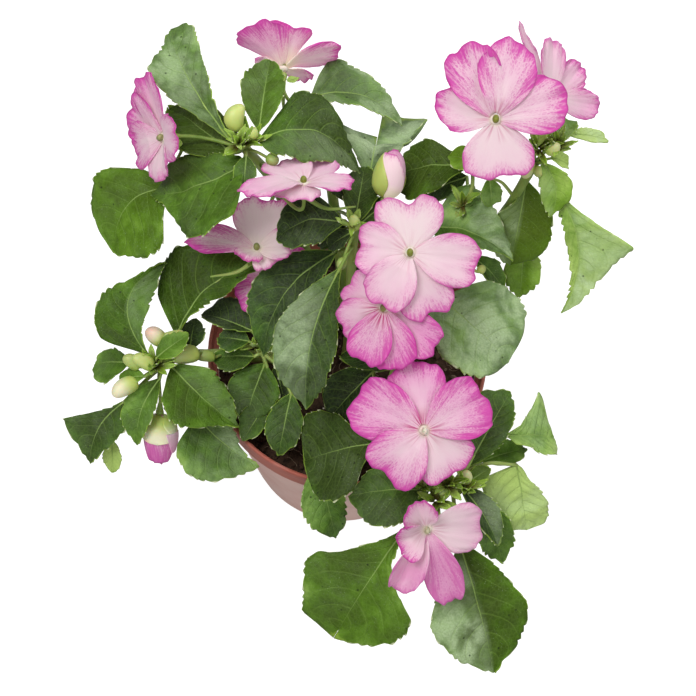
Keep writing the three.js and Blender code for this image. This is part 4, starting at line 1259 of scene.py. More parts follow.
def soilFinish():
    material, tree, shader = newFinish("peat", Roughness=0.95)
    shader.inputs["Specular IOR Level"].default_value = 0.15
    tone = painted(tree, "crumbLook")[0]
    place = put(tree, "TexCoord").outputs["Object"]
    grain = speckle(tree, place, 500.0, 5.0, 0.65)
    broad = speckle(tree, place, 60.0, 2.0)
    colour = blend(tree, step(tree, grain, 0.3, 0.7), tint("1b130f"), tint("4b382c"))
    colour = blend(tree, times(tree, step(tree, broad, 0.4, 0.7), 0.4), colour, tint("5a4536"))
    colour = blend(tree, step(tree, tone, 0.75, 0.95, 0.0, 0.8), colour, tint("8c7965"))
    colour = blend(tree, step(tree, tone, 0.97, 0.985), colour, tint("d8d2c6"))
    feed(tree, colour, shader.inputs["Base Color"])
    feed(tree, raised(tree, grain, 0.9, 0.0008), shader.inputs["Normal"])
    return material


upperSide, underSide = leafFinish("leafUpper", False), leafFinish("leafUnder", True)
stalkSkin = stalkFinish("stalkSkin", tint("6f8d38"), tint("a9bb68"), tint("8a8a52"))
petalSilk, flowerEye, budSkin = petalFinish(), eyeFinish(), budFinish()
potPlastic, peat = potFinish(), soilFinish()
print("finishes made")

pot = {
    "foot": 41.0,
    "body": 53.2,
    "rim": 55.0,
    "height": 95.0,
    "under": 85.5,
    "wall": 1.6,
    "floor": 2.4,
    "drainRing": 27.0,
    "drainHole": 3.5,
    "drainCount": 5,
    "sides": 96,
}


def potPiece():
    wall, foot, body, rim = pot["wall"], pot["foot"], pot["body"], pot["rim"]
    under, top = pot["under"], pot["height"]
    profile = [
        (foot - 1.5, 0),
        (foot - 0.4, 0.3),
        (foot, 1.1),
        (foot + 0.8, 6.0),
        (foot + 0.9, 6.5),
        (body - 0.9, under - 5.0),
        (body, under),
        (rim - 0.3, under + 0.1),
        (rim, under + 0.5),
        (rim, under + 1.2),
        (rim - 0.1, top - 2.0),
        (rim, top - 1.0),
        (rim - 0.3, top - 0.3),
        (rim - 0.8, top),
        (rim - wall + 0.2, top - 0.3),
        (rim - wall, top - 0.9),
        (rim - wall - 0.1, under + 1.5),
        (body - wall, under),
        (foot + 0.4 - wall, pot["floor"] + 1.5),
        (foot - 0.8 - wall, pot["floor"]),
    ]
    piece = turned("pot_body", profile, pot["sides"], potPlastic)
    cutters = []
    for i in range(pot["drainCount"]):
        angle = 2 * math.pi * i / pot["drainCount"]
        middle = (pot["drainRing"] * math.cos(angle) * mm, pot["drainRing"] * math.sin(angle) * mm, 0)
        bpy.ops.mesh.primitive_cylinder_add(
            vertices=24, radius=pot["drainHole"] * mm, depth=4 * pot["floor"] * mm, location=middle
        )
        cutters.append(bpy.context.object)
    cutter = joined("drainCutter", cutters)
    applied(piece, "BOOLEAN", operation="DIFFERENCE", solver="EXACT", object=cutter)
    bpy.data.objects.remove(cutter)
    only(piece)
    bpy.ops.object.shade_smooth_by_angle(angle=math.radians(35))
    return declared(piece, "pot_plastic", "pot")


soil = {"level": 83.0, "dome": 2.0, "edge": 51.2, "foot": 38.0, "rings": 34, "crumbs": 900, "fibres": 90}


def soilHeight(x, y):
    radius = math.hypot(x, y) / soil["edge"]
    swell = noise.noise(Vector((x / 14, y / 14, 3.1))) * 1.6
    swell += noise.noise(Vector((x / 5, y / 5, 7.7))) * 0.8
    return soil["level"] + soil["dome"] * (1 - radius * radius) + swell * min(1, 3 * (1 - radius) + 0.3)


def soilPiece():
    edge = soil["edge"]
    profile = [(soil["foot"], 4.0), (edge, soil["level"] - 1)]
    profile += [(edge * (1 - ring / soil["rings"]), soil["level"]) for ring in range(1, soil["rings"])]
    ground = turned("ground", profile, 120, peat)
    places = readPoints(ground.data)
    for place in places:
        if place[2] > (soil["level"] - 2) * mm:
            x, y = place[:2] / mm
            fine = noise.noise(Vector((x * 0.9, y * 0.9, 1.3))) * 0.7
            place[2] = (soilHeight(x, y) + fine) * mm
    movePoints(ground.data, places)
    paint(ground.data, "crumbLook", 0.0, 0.0, 0.0, 1.0)
    chance = random.Random(11)
    bpy.ops.mesh.primitive_ico_sphere_add(subdivisions=1, radius=1)
    blank = bpy.context.object
    blank.data.materials.append(peat)
    form = readPoints(blank.data)
    parts = [ground]
    for index in range(soil["crumbs"] // (1)):
        crumb = copied(blank)
        reach = edge * math.sqrt(chance.random()) * 0.985
        angle = chance.uniform(0, 2 * math.pi)
        x, y = reach * math.cos(angle), reach * math.sin(angle)
        size = chance.uniform(0.35, 0.9) + (chance.random() < 0.12) * chance.uniform(0.4, 1.3)
        shape = form * [size * chance.uniform(0.7, 1.3) for axis in range(3)]
        shape *= np.array([[chance.uniform(0.8, 1.2)] for vertex in form])
        spin = np.array(Matrix.Rotation(chance.uniform(0, 6.3), 3, (chance.random(), chance.random(), 0.4)))
        movePoints(crumb.data, (shape @ spin.T + (x, y, soilHeight(x, y) + 0.3 * size)) * mm)
        paint(crumb.data, "crumbLook", chance.random(), 0.0, 0.0, 1.0)
        parts.append(crumb)
    bpy.data.objects.remove(blank)
    strokes = []
    for index in range(soil["fibres"]):
        reach, angle = edge * math.sqrt(chance.random()) * 0.93, chance.uniform(0, 6.3)
        start = spot((reach * math.cos(angle), reach * math.sin(angle), 0))
        way = chance.uniform(0, 6.3)
        places = []
        for turn in range(5):
            place = start + spot((math.cos(way), math.sin(way), 0)) * turn * chance.uniform(1.0, 1.6)
            inside = min(1, 0.95 * edge / max(1, np.hypot(*place[:2])))
            place *= inside
            place[2] = soilHeight(*place[:2]) + 0.5 + chance.uniform(0, 0.7)
            places.append(place)
            way += chance.uniform(-0.4, 0.4)
        strokes.append((places, [0.16] * 5))
    fibres = tubes("fibres", strokes, peat)
    paint(fibres.data, "crumbLook", 0.9, 0.0, 0.0, 1.0)
    piece = joined("soil_top", [*parts, fibres])
    only(piece)
    bpy.ops.object.shade_smooth_by_angle(angle=math.radians(40))
    return declared(piece, "potting_soil", "soil")


potPiece()
soilPiece()
print("pot and soil made")

leafMake = {
    "power": 1.6,  # of a plain leaf's outline
    "toothPitch": 3.6,
    "tooth": 0.8,
    "veins": 6.5,  # pairs of side veins
    "climb": 0.3,
    "quilt": 0.38,  # swelling between the veins
    "trough": 0.7,
    "wave": 1.1,
    "lump": 1.1,
    "lumpWide": 7,
    "ribWide": 1.3,
    "thick": 0.35,
    "bigFrom": 22,  # a longer leaf has the finer blank
}


def gridBlank(across, along, finish):
    bpy.ops.mesh.primitive_grid_add(x_subdivisions=across, y_subdivisions=along, size=2)
    blank = bpy.context.object
    bpy.ops.object.shade_smooth()
    blank.data.materials.append(finish)
    return blank


def leafFrame(leaf):
    base, tip = spot(leaf["base"]), spot(leaf["tip"])
    length = np.linalg.norm(tip - base)
    along = (tip - base) / length
    normal = unit(upward - along * (upward @ along))
    return base, along, normal, np.cross(along, normal), length


# A margin given by its width at a few shares of the length, with its corners eased.
def rimWidth(knots, t):
    shares, widths = zip((0, 0.6), *knots, (1, 0.1))
    fine = np.linspace(0, 1, 121)
    line = np.interp(fine, shares, widths)
    for turn in range(2):
        line[1:-1] = (line[:-2] + 2 * line[1:-1] + line[2:]) / 4
    return np.interp(t, fine, line)


# Places on a blade for shares out from the midrib (-1 to 1) and along it (0 to 1), with what
# its finish needs to know there: the distance from the midrib and margin and the tooth.
def bladePlaces(leaf, out, t, chance):
    base, along, normal, side, length = leafFrame(leaf)
    belly, power = leaf.get("belly", 0.47), leafMake["power"]
    early, late = power * belly, power * (1 - belly)
    width = t**early * np.clip(1 - t, 0, 1) ** late / (belly**early * (1 - belly) ** late)
    rise = leaf.get("rise", [1, 1])
    reach = np.where(out < 0, leaf["left"], leaf["right"])
    lift = np.where(out < 0, rise[0], rise[1])
    far = np.abs(out)
    if "leftRim" in leaf:
        half = np.where(out < 0, rimWidth(leaf["leftRim"], t), rimWidth(leaf["rightRim"], t))
    else:
        half = reach * width * (1 - 0.2 * smoothStep(0.75, 1, t))
    half = np.maximum(half, 0.6 - 0.5 * t)
    teeth = max(5, round(length / leafMake["toothPitch"]))
    uneven = 0.35 * np.sin(2 * np.pi * (t * teeth / 3.4 + chance["shift"]))
    phase = (t * teeth + uneven + chance["shift"] + 0.5 * (out < 0)) % 1
    tooth = np.where(phase < 0.8, (phase / 0.8) ** 0.7, (1 - phase) / 0.2)
    size = min(leafMake["tooth"], 0.06 * (leaf["left"] + leaf["right"]))
    size = size * (1 + 0.5 * np.sin(2 * np.pi * (1.7 * t + chance["chance"])))
    fade = smoothStep(0.05, 0.2, t) * smoothStep(0.0, 0.05, 1 - t) * far**5
    across = far * half + size * (tooth - 0.5) * fade
    middle = -leaf.get("sway", 0) * 4 * t * (1 - t)
    share = across / np.maximum(reach, 0.1)
    height = leaf.get("arch", 2) * 4 * t * (1 - t) + lift * share
    broad = min(1, min(leaf["left"], leaf["right"]) / 10)
    beat = (leafMake["veins"] * (t - leafMake["climb"] * far**1.5) + 0.5 * (out > 0)) % 1
    swell = (0.5 + 0.5 * np.cos(2 * np.pi * beat)) * smoothStep(0.02, 0.25, far)
    swell *= smoothStep(0, 0.2, 1 - far)
    height += broad * leafMake["quilt"] * swell
    height -= broad * leafMake["trough"] * np.exp(-((across / leafMake["ribWide"]) ** 2)) * (1 - 0.7 * t)
    turns = np.where(out < 0, chance["waves"][0], chance["waves"][1])
    start = np.where(out < 0, chance["starts"][0], chance["starts"][1])
    ripple = broad * leafMake["wave"] * far**3 * np.sin(2 * np.pi * (turns * t + start))
    height += ripple * smoothStep(0, 0.3, t)
    height += chance["curl"] * broad * t**4 + chance["fold"] * broad * far**2 * 1.2
    flat = zip(t * length / leafMake["lumpWide"], across / leafMake["lumpWide"])
    lumps = [noise.noise(Vector((*place, chance["chance"] * 9))) for place in flat]
    height += broad * leafMake["lump"] * np.array(lumps)
    x = t * length + 0.5 * tooth * fade * (size > 0.3) + leaf.get("horn", 0) * (far**3 - 0.3) * t**3
    x += leaf.get("skew", 0) * np.sign(out) * far**6 * t**3
    places = base + np.outer(x, along) + np.outer(middle + np.sign(out) * across, side)
    places += np.outer(height, normal)
    return places, across, (1 - far) * half, tooth * fade


def chances(name, index):
    dice = random.Random(f"{name} {index}")
    return {
        "shift": dice.random(),
        "waves": [dice.uniform(1.2, 2.6), dice.uniform(1.2, 2.6)],
        "starts": [dice.random(), dice.random()],
        "curl": dice.uniform(-1.8, 0.6),
        "fold": dice.uniform(-0.6, 0.8),
        "chance": dice.random(),
    }


def blade(leaf, blank, chance):
    piece = copied(blank)
    form = readPoints(piece.data)
    out, t = form[:, 0], (form[:, 1] + 1) / 2
    places, across, edge, tooth = bladePlaces(leaf, out, t, chance)
    movePoints(piece.data, places * mm)
    tone, sheenLeft, sheenRight, yellow, specks = leaf["look"]
    sheen = sheenLeft + (sheenRight - sheenLeft) * smoothStep(-0.08, 0.08, out)
    paint(piece.data, "leafPlace", across, edge, tooth, leaf.get("young", 0.0))
    paint(piece.data, "leafLook", tone, sheen, yellow, specks)
    return piece


bigBlank = gridBlank(18, 84, upperSide)
smallBlank = gridBlank(10, 36, upperSide)
tinyBlank = gridBlank(4, 12, upperSide)
for blank in (bigBlank, smallBlank, tinyBlank):
    blank.data.materials.append(underSide)
print("blade points", len(bigBlank.data.vertices), len(smallBlank.data.vertices))

tuftMake = {"turn": 2.4, "start": 0.6, "long": (4.0, 8.5), "half": (0.8, 1.4), "sway": (-0.8, 0.8)}


# A tuft of very young leaves, brown where they are packed together, at the end of a stem.
def tuftBlades(tuft, name):
    x, y, z, count = tuft
    dice = random.Random(f"{name} {x}")
    blades = []
    for index in range(count):
        turn = tuftMake["turn"] * index + dice.uniform(-0.4, 0.4)
        climb = dice.uniform(0.15, 1.3)
        level = math.cos(climb)
        way = unit(spot((math.cos(turn) * level, math.sin(turn) * level, math.sin(climb))))
        base = spot((x, y, z)) + way * tuftMake["start"]
        leaf = {
            "base": base,
            "tip": base + way * dice.uniform(*tuftMake["long"]),
            "left": dice.uniform(*tuftMake["half"]),
            "right": dice.uniform(*tuftMake["half"]),
            "arch": dice.uniform(-0.8, 0.6),
            "sway": dice.uniform(*tuftMake["sway"]),
            "rise": [0.5, 0.5],
            "young": dice.uniform(0.6, 1.0),
            "look": (dice.uniform(0.3, 0.75), 0.0, 0.0, dice.uniform(0.3, 0.95), 0),
        }
        blades.append(blade(leaf, tinyBlank, chances(name, index)))
    return blades


def leavesPiece(name, plan):
    blades = []
    for tuft in plan.get("tufts", []):
        blades += tuftBlades(tuft, name)
    for index, leaf in enumerate(plan["leaves"]):
        long = np.linalg.norm(spot(leaf["tip"]) - spot(leaf["base"]))
        blank = bigBlank if long > leafMake["bigFrom"] else smallBlank
        blades.append(blade(leaf, blank, chances(name, index)))
    piece = joined(name.replace("stem", "leaves"), blades)
    applied(
        piece, "SOLIDIFY", thickness=leafMake["thick"] * mm, offset=-1, material_offset=1,
        use_even_offset=False,
    )
    return declared(piece, "leaf", name)


for name, plan in stems.items():
    leavesPiece(name, plan)
print("leaves made")

stalkMake = {
    "foot": 2.9,
    "end": 1.6,
    "skin": 0.8,
    "petiole": (0.85, 0.65),
    "ridge": (0.55, 0.15),
    "flower": (0.75, 0.65),
    "bud": (0.6, 0.5),
    "knots": (0.35, 0.6, 0.82, 0.95),  # shares of a stem where it thickens
    "cup": [(0.25, 0.9), (0.45, 1.1), (0.7, 1.4), (0.9, 1.6), (1.0, 1.4)],  # (share, radius)
    "cupLong": 5.0,
    "spur": 22.0,
    "back": 1.5,
    "clearance": 0.3,
}


# Where a stalk bound for a place comes out of its stem.
def inSkin(path, share, target):
    centre, _ = onCurve(path, share)
    radius = stalkMake["foot"] + (stalkMake["end"] - stalkMake["foot"]) * share
    return centre + unit(target - centre) * (radius - stalkMake["skin"])


def taper(ends, count):
    return np.linspace(*ends, count)


def stemStroke(path):
    points = curvePoints(path, 60)
    shares = np.linspace(0, 1, 60)
    radii = taper((stalkMake["foot"], stalkMake["end"]), 60)
    knots = sum(np.exp(-(((shares - at) / 0.02) ** 2)) for at in stalkMake["knots"])
    return points, radii * (1 + 0.12 * knots)


def petioleStroke(leaf, path, chance):
    base = spot(leaf["base"])
    start = inSkin(path, leaf.get("from", 0.97), base)
    run = np.linalg.norm(base - start)
    rib, *_ = bladePlaces(leaf, np.zeros(9), np.linspace(0.0, 0.8, 9), chance)
    early = unit(rib[1] - rib[0])
    bend = (start + base) / 2 - early * 0.12 * run + upward * 0.06 * run
    stalk = curvePoints([start, bend, base], 16)
    normal = leafFrame(leaf)[2]
    broad = min(1, (leaf["left"] + leaf["right"]) / 16)
    ridge = taper(stalkMake["ridge"], 8) * broad
    under = rib[1:] - np.outer(0.2 + ridge * 0.8, normal)
    stout = 0.55 + 0.45 * broad
    stalk[-3:] -= np.outer([0.15, 0.35, 0.5], normal)
    return np.vstack([stalk, under]), np.concatenate([taper(stalkMake["petiole"], 16) * stout, ridge])


def bloomFrame(bloom):
    face = unit(spot(bloom["face"]))
    top = unit(upward - face * (upward @ face))
    return spot(bloom["at"]), face, top, np.cross(top, face)


def turnedAbout(vector, axis, degrees):
    return np.array(Matrix.Rotation(math.radians(degrees), 3, Vector(axis)) @ Vector(vector))


def flowerStroke(front, face, path, share):
    back = front - face * stalkMake["cupLong"]
    start = inSkin(path, share, back)
    _, tangent = onCurve(path, share)
    run = np.linalg.norm(back - start)
    knots = [start, start + tangent * 0.3 * run, back - face * 0.35 * run, back + face * 0.5]
    t = np.linspace(0, 1, 22)[:, None]
    stalk = (1 - t) ** 3 * knots[0] + 3 * t * (1 - t) ** 2 * knots[1]
    stalk = stalk + 3 * t**2 * (1 - t) * knots[2] + t**3 * knots[3]
    shares, radii = zip(*stalkMake["cup"])
    cup = [back + face * stalkMake["cupLong"] * share for share in shares]
    return np.vstack([stalk, cup]), np.concatenate([taper(stalkMake["flower"], 22), radii])


def spurStroke(front, face, curl):
    root = front - face * 0.5 * stalkMake["cupLong"]
    down = turnedAbout(unit(-upward + face * face[2]), face, curl)
    long = stalkMake["spur"]
    places = [
        root,
        root + down * 0.35 * long - face * 0.22 * long,
        root + down * 0.8 * long - face * 0.2 * long,
    ]
    return curvePoints(places, 20), taper((1.0, 0.35), 20)


# Everything that stands on a cup: open blooms, and the buds that show colour.
def cupsOf(plan):
    for name, bloom in plan.get("blooms", {}).items():
        centre, face, _, _ = bloomFrame(bloom)
        front = centre - face * (stalkMake["back"] + stalkMake["clearance"])
        yield name, bloom, front, face, bloom.get("from", 0.97)
    for name, bud in plan.get("colourBuds", {}).items():
        face = unit(spot(bud["tip"]) - spot(bud["base"]))
        yield name, bud, spot(bud["base"]) - face * stalkMake["clearance"], face, bud.get("from", 0.97)


def budStroke(bud, path):
    base, tip = spot(bud["base"]), spot(bud["tip"])
    start = inSkin(path, bud.get("from", 0.97), base)
    bend = (start + base) / 2 + upward * 0.1 * np.linalg.norm(base - start)
    return curvePoints([start, bend, base, base + (tip - base) * 0.25], 14), taper(stalkMake["bud"], 14)


sepalMake = {"behind": 2.6, "out": 1.4, "long": 4.6, "forward": 1.6, "half": 1.5}


# Two narrow green sepals lie along the back of each bloom, one either side of its stalk.
def sepals(front, face, name):
    parts = []
    across = unit(np.cross(face, upward + spot((0.1, 0.2, 0))))
    for sign in (-1, 1):
        out = across * sign
        base = front - face * sepalMake["behind"] + out * sepalMake["out"]
        sepal = {
            "base": base,
            "tip": base + out * sepalMake["long"] + face * sepalMake["forward"],
            "left": sepalMake["half"],
            "right": sepalMake["half"],
            "arch": -0.5,
            "belly": 0.4,
            "rise": [0.4, 0.4],
            "look": (0.62, 0.1, 0.1, 0.4, 0),
        }
        parts.append(blade(sepal, smallBlank, chances(name, sign)))
    return parts


def stalksPiece(name, plan):
    path = [spot(place) for place in plan["path"]]
    strokes = [stemStroke(path)]
    for index, leaf in enumerate(plan["leaves"]):
        strokes.append(petioleStroke(leaf, path, chances(name, index)))
    strokes += [budStroke(bud, path) for bud in plan.get("buds", [])]
    green = []
    for label, flower, front, face, share in cupsOf(plan):
        strokes.append(flowerStroke(front, face, path, share))
        if label in plan.get("blooms", {}):
            strokes.append(spurStroke(front, face, flower.get("curl", 0)))
        green += sepals(front, face, label)
    stalks = tubes("stalks", strokes, stalkSkin)
    only(stalks)
    bpy.ops.object.shade_smooth()
    piece = joined(name.replace("stem", "stalks"), [stalks, *green])
    return declared(piece, "leaf", name)


for name, plan in stems.items():
    stalksPiece(name, plan)
print("stalks made")

budProfile = [
    (0.25, 0.0), (0.6, 0.04), (0.84, 0.12), (0.97, 0.26), (1.0, 0.42), (0.97, 0.58), (0.87, 0.73),
    (0.7, 0.85), (0.47, 0.94), (0.25, 0.985), (0.06, 1.0),
]


def budsPiece(name, plan, blank):
    dice = random.Random(name)
    parts = []
    for bud in plan["buds"]:
        base, tip = spot(bud["base"]), spot(bud["tip"])
        axis = tip - base
        long = np.linalg.norm(axis)
        part = copied(blank)
        form = readPoints(part.data) / mm
        radial, share = form[:, :2] * bud["wide"] / 2, form[:, 2]
        first = unit(np.cross(axis, (0.3, 0.2, 1.0)))
        second = unit(np.cross(axis, first))
        bow = np.outer(np.sin(np.pi * share), first) * bud.get("bow", 0.06) * long
        turns = np.arctan2(form[:, 1], form[:, 0])
        ridge = 1 + 0.06 * np.cos(3 * turns + dice.uniform(0, 6)) * np.sin(np.pi * share)
        places = base + np.outer(share, axis) + bow
        places += np.outer(radial[:, 0] * ridge, first) + np.outer(radial[:, 1] * ridge, second)
        movePoints(part.data, places * mm)
        paint(part.data, "budLook", bud["tone"], share, bud.get("pink", 0.0), bud.get("cream", 0.15))
        parts.append(part)
    piece = joined(name.replace("stem", "buds"), parts)
    return declared(piece, "leaf", name)


budBlank = turned("budBlank", budProfile, 16, budSkin)
only(budBlank)
bpy.ops.object.shade_smooth()
for name, plan in stems.items():
    if "buds" in plan:
        budsPiece(name, plan, budBlank)
bpy.data.objects.remove(budBlank)
print("green buds made")

petalMake = {
    "layers": [0, 1, 0, 2, 1],  # which petal lies over which
    "form": (0.7, 0.06, 0),
    "layer": 1.3,
    "apart": 6.0,
    "shoulder": 0.62,
    "belly": 0.85,
    "ruffle": 0.3,
    "cup": 0.4,
    "crease": 0.45,
    "frill": 0.55,
    "thick": 0.3,
    "heart": {"ahead": 0, "form": (1.9, 1.9, 1.3), "sides": 20},
    "eye": {"ahead": 1.5, "form": (1.15, 1.45, 1.5), "sides": 16},
}


# An end below 0.8 makes a petal square and one above makes it pointed.
def petalPiece(row, bloom, layer, look, form, blank, dice):
    turn, long, wide, lift = row
    roundness, notch, fold = form
    centre, face, top, right = bloomFrame(bloom)
    turn, lift = math.radians(turn), math.radians(lift)
    out = top * math.cos(turn) + right * math.sin(turn)
    along = out * math.cos(lift) + face * math.sin(lift)
    normal = face * math.cos(lift) - out * math.sin(lift)
    side = np.cross(along, normal)
    piece = copied(blank)
    blankPlaces = readPoints(piece.data)
    c, s = blankPlaces[:, 0], (blankPlaces[:, 1] + 1) / 2
    s = 0.07 + 0.93 * s
    shoulder = petalMake["shoulder"]
    lobe = 0.03 * np.sin(dice.uniform(5, 9) * c + dice.uniform(0, 6)) * (1 - c**2)
    lobe += 0.01 * np.sin(19 * c + dice.uniform(0, 6))
    end = shoulder + (1 - shoulder) * np.cos(c * np.pi / 2).clip(0) ** roundness
    end = end - notch * np.exp(-((c / 0.2) ** 2)) + lobe
    x = s * end * long
    spread, across = np.sin(s * np.pi / 2) ** petalMake["belly"], np.sin(c * np.pi / 2)
    y = spread * across * wide / 2
    gapEnd = (1 - s) * end * long
    gapSide = wide / 2 * spread * (1 - np.abs(across))
    edge = np.minimum(gapEnd, gapSide + np.abs(1 - s) ** 1.5 * 7.0)
    stacking = layer * petalMake["layer"] * np.minimum(1, x / petalMake["apart"])
    cone = math.tan(lift) * y**2 / (2 * np.maximum(x, 1.0))
    height = petalMake["ruffle"] * np.sin(0.2 * x) + 4 * petalMake["cup"] * (y / wide) ** 2 + cone
    height -= petalMake["crease"] * np.exp(-((y / 2.2) ** 2)) * smoothStep(0.1, 0.5, s)
    height += fold * np.abs(y) / wide * 2 * smoothStep(0.1, 0.5, s)
    outer = smoothStep(0.45, 1.0, s)
    frill = np.sin(dice.uniform(2.5, 4.0) * np.pi * c + dice.uniform(0, 6)) * dice.uniform(0.6, 1.0)
    frill += 0.5 * np.sin(dice.uniform(6, 9) * np.pi * c + dice.uniform(0, 6))
    height += petalMake["frill"] * frill * outer**2
    height += dice.uniform(-1.3, 0.7) * outer**3 + dice.uniform(-0.6, 0.6) * c * s
    fine = 0.05 * np.sin(c * 23 + dice.uniform(0, 6)) * np.sin(np.pi * s)
    places = centre + np.outer(stacking, face) + np.outer(x, along) + np.outer(y, side)
    places += np.outer(height + fine, normal)
    movePoints(piece.data, places * mm)
    paint(piece.data, "petalPlace", x, y, edge, dice.random())
    paint(piece.data, "petalLook", *look)
    return piece


# A bloom's heart is a small shallow dish that the petals' claws grow from, and its eye stands on
# it: both are pressed balls.
def ballPiece(bloom, ball, finish):
    centre, face, _, _ = bloomFrame(bloom)
    bpy.ops.mesh.primitive_uv_sphere_add(
        segments=ball["sides"],
        ring_count=10,
        radius=mm,
        location=(centre + face * ball["ahead"]) * mm,
        rotation=Vector(face).to_track_quat("Z", "Y").to_euler(),
    )
    bpy.ops.transform.resize(value=ball["form"], orient_type="LOCAL")
    piece = bpy.context.object
    bpy.ops.object.transform_apply(location=True, rotation=True, scale=True)
    bpy.ops.object.shade_smooth()
    piece.data.materials.append(finish)
    return piece


def bloomPiece(name, bloom, blank):
    dice = random.Random(name)
    looks = petalLooks[name]
    layers = looks.get("layers", petalMake["layers"])
    forms = looks.get("forms", [petalMake["form"]] * 5)
    petals = [
        petalPiece(*parts, blank, dice)
        for parts in zip(bloom["petals"], [bloom] * 5, layers, looks["petals"], forms)
    ]
    petals = joined("petals", petals)
    applied(petals, "SOLIDIFY", thickness=petalMake["thick"] * mm, offset=0)
    heart = ballPiece(bloom, petalMake["heart"], petalSilk)
    paint(heart.data, "petalPlace", 1.5, 0.0, 9.0, 0.5)
    paint(heart.data, "petalLook", 0.0, 1.0, 0.2, 0.0)
    eye = ballPiece(bloom, petalMake["eye"], flowerEye)
    paint(eye.data, "eyeLook", looks["eye"], 0.0, 0.0, 1.0)
    piece = joined(name.replace("bloom", "petals"), [petals, heart, eye])
    return declared(piece, "petal", name)


petalBlank = gridBlank(28, 28, petalSilk)
for plan in stems.values():
    for name, bloom in plan.get("blooms", {}).items():
        bloomPiece(name, bloom, petalBlank)
print("blooms made")

# Petals furled one over the other round a bud, and the green sepals that hold them. A sheet goes
# from one angle over a span of degrees and between two shares of the bud's length.
furled = {
    "bud_egg": {
        "open": 0.0,
        "petals": [
            {"from": 200, "span": 210, "low": 0.0, "high": 1.0, "gap": 0.0, "look": (0.5, 4, 0.3, 0)},
            {"from": 20, "span": 200, "low": 0.0, "high": 1.04, "gap": 0.3, "look": (0.9, 4, 0.7, 0)},
            {"from": 75, "span": 160, "low": 0.0, "high": 0.93, "gap": 0.6, "look": (0.8, 2.5, 0.1, -0.8)},
        ],
        "sepals": [
            {"from": 150, "span": 165, "low": 0.0, "high": 0.95, "gap": 1.0, "tone": 1.0, "cream": 0.0},
            {"from": 260, "span": 120, "low": 0.0, "high": 0.62, "gap": 1.2, "tone": 0.8, "cream": 0.0},
        ],
    },
    "bud_opening": {
        "open": 0.2,
        "petals": [
            {"from": 200, "span": 210, "low": 0.0, "high": 1.02, "gap": 0.0, "look": (0.95, 40, 1.0, 0)},
            {"from": 0, "span": 150, "low": 0.0, "high": 0.9, "gap": 0.3, "look": (1.0, 40, 1.0, 0)},
            {"from": 80, "span": 130, "low": 0.0, "high": 0.92, "gap": 0.9, "look": (0.85, 30, 1.0, 0)},
            {"from": 140, "span": 70, "low": 0.3, "high": 0.72, "gap": 1.9, "look": (0.4, 2, 1.2, 0)},
        ],
        "sepals": [
            {"from": 70, "span": 170, "low": 0.0, "high": 0.5, "gap": 1.5, "tone": 1.0, "cream": 1.0},
            {"from": 180, "span": 150, "low": 0.0, "high": 0.42, "gap": 1.7, "tone": 1.0, "cream": 1.0},
            {"from": 290, "span": 170, "low": 0.0, "high": 0.45, "gap": 1.4, "tone": 0.8, "cream": 1.0},
        ],
    },
}


def furledSheet(bud, sheet, blank, opening, pointed):
    base, tip = spot(bud["base"]), spot(bud["tip"])
    axis = tip - base
    long = np.linalg.norm(axis)
    first = unit(np.cross(axis, (0.0, 0.0, 1.0)))
    second = unit(np.cross(first, axis))
    piece = copied(blank)
    form = readPoints(piece.data)
    c, s = form[:, 0], (form[:, 1] + 1) / 2
    share = sheet["low"] + (sheet["high"] - sheet["low"]) * s
    if pointed:
        narrow = np.sqrt(np.clip(1 - s**3, 0, 1))
        narrow *= 0.35 + 0.65 * np.sin(np.pi * np.clip(s + 0.1, 0, 0.5))
    else:
        narrow = 1 - 0.35 * s**4
    angle = np.radians(sheet["from"] + sheet["span"] / 2 * c * narrow) + 0.9 * share
    girth = np.sqrt(np.clip(1 - (2 * np.clip(share, 0.004, 0.996) ** 0.8 - 1) ** 2, 0, 1))
    girth *= 1 - opening * smoothStep(0.4, 0.9, share)
    girth += opening * smoothStep(0.4, 1.0, share) * 0.75
    radius = bud["wide"] / 2 * 0.86 * girth + sheet["gap"] * np.minimum(1, 4 * share + 0.1)
    radius += 0.35 * (c > 0) * c * s
    radius += 0.25 * np.sin(7 * c + 3) * opening * smoothStep(0.5, 1, s)
    places = base + np.outer(share, axis) + np.outer(radius * np.cos(angle), first)
    places += np.outer(radius * np.sin(angle), second)
    movePoints(piece.data, places * mm)
    side = (1 - np.abs(c)) * radius * math.radians(sheet["span"]) / 2
    edge = np.minimum((1 - s) * long, side + (1 - share) * 2)
    return piece, share, edge, c


def furledPiece(name, bud):
    dice = random.Random(name)
    plan = furled[name]
    petals = []
    for sheet in plan["petals"]:
        piece, share, edge, c = furledSheet(bud, sheet, petalBlank, plan["open"], False)
        paint(piece.data, "petalPlace", share * 24, c * 8, edge, dice.random())
        paint(piece.data, "petalLook", *sheet["look"])
        petals.append(piece)
    for sheet in plan["sepals"]:
        piece, share, edge, c = furledSheet(bud, sheet, petalBlank, 0.0, True)
        piece.data.materials[0] = budSkin
        paint(piece.data, "budLook", sheet["tone"], share / sheet["high"], 0.0, sheet["cream"])
        petals.append(piece)
    piece = joined(name.replace("bud", "furled"), petals)
    applied(piece, "SOLIDIFY", thickness=petalMake["thick"] * mm, offset=-1)
    return declared(piece, "petal", name)


for plan in stems.values():
    for name, bud in plan.get("colourBuds", {}).items():
        furledPiece(name, bud)
for blank in (bigBlank, smallBlank, tinyBlank, petalBlank):
    bpy.data.objects.remove(blank)
print("coloured buds made")

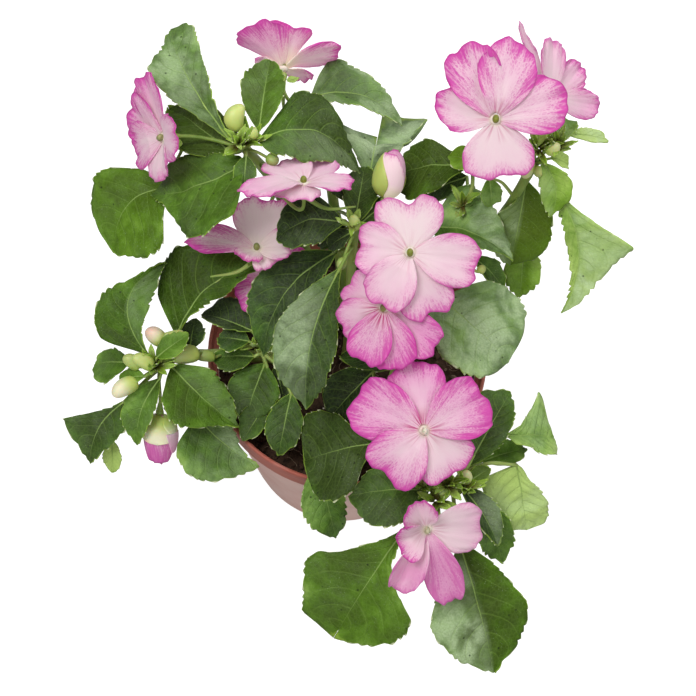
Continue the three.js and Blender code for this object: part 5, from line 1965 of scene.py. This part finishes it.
# The floor and the sky are white to the camera and shine less on the plant.
studio = {
    "floorWide": 40,
    "floorGrey": (0.35, 0.35, 0.35, 1),
    "white": (1, 1, 1, 1),
    "floorGlow": 0.15,
    "floorSeen": 0.75,
    "skyGlow": 0.23,
    "skySeen": 0.77,
}
bpy.ops.mesh.primitive_plane_add(size=studio["floorWide"])
floor = bpy.context.object
floor.name = "floor"
floorMaterial, floorTree, floorShader = newFinish("floorPaper", Roughness=0.9)
floorShader.inputs["Base Color"].default_value = studio["floorGrey"]
floorShader.inputs["Specular IOR Level"].default_value = 0.0
floorShader.inputs["Emission Color"].default_value = studio["white"]
seen = put(floorTree, "LightPath").outputs["Is Camera Ray"]
glow = plus(floorTree, studio["floorGlow"], times(floorTree, seen, studio["floorSeen"]))
feed(floorTree, glow, floorShader.inputs["Emission Strength"])
floor.data.materials.append(floorMaterial)

world = bpy.data.worlds.new("studio")
bpy.context.scene.world = world
world.use_nodes = True
skyTree = world.node_tree
sky = skyTree.nodes["Background"].inputs
sky["Color"].default_value = studio["white"]
seen = put(skyTree, "LightPath").outputs["Is Camera Ray"]
glow = plus(skyTree, times(skyTree, seen, studio["skySeen"]), studio["skyGlow"])
feed(skyTree, glow, sky["Strength"])

lamps = {
    "window": {"place": (-0.28, -0.1, 0.95), "target": (0, 0, 0.12), "wide": 0.4, "power": 5.0},
    "front": {"place": (0.1, -0.75, 0.5), "target": (0, 0, 0.14), "wide": 0.5, "power": 1.8},
    "bounce": {"place": (0.4, 0.4, 0.7), "target": (0, 0, 0.12), "wide": 0.5, "power": 3.0},
}
for name, lamp in lamps.items():
    bpy.ops.object.light_add(type="AREA", location=lamp["place"])
    light = bpy.context.object
    light.name = name
    light.data.size = lamp["wide"]
    light.data.energy = lamp["power"]
    way = Vector(lamp["target"]) - Vector(lamp["place"])
    light.rotation_euler = way.to_track_quat("-Z", "Y").to_euler()

# The camera looks down on the plant from the front, rolled a little.
cameraView = {
    "place": (0, -0.2157, 0.58245),
    "right": (0.99692, 0.07168, 0.03191),
    "up": (-0.07846, 0.91073, 0.40548),
    "lens": 70.09,
}
cameraData = bpy.data.cameras.new("camera")
cameraData.sensor_width = 36
cameraData.lens = cameraView["lens"]
camera = bpy.data.objects.new("camera", cameraData)
bpy.context.collection.objects.link(camera)
right, top = Vector(cameraView["right"]), Vector(cameraView["up"])
turn = Matrix((right, top, right.cross(top))).transposed().to_4x4()
camera.matrix_world = Matrix.Translation(cameraView["place"]) @ turn
bpy.context.scene.camera = camera
bpy.context.scene.view_settings.view_transform = "Standard"

print("scene finished")
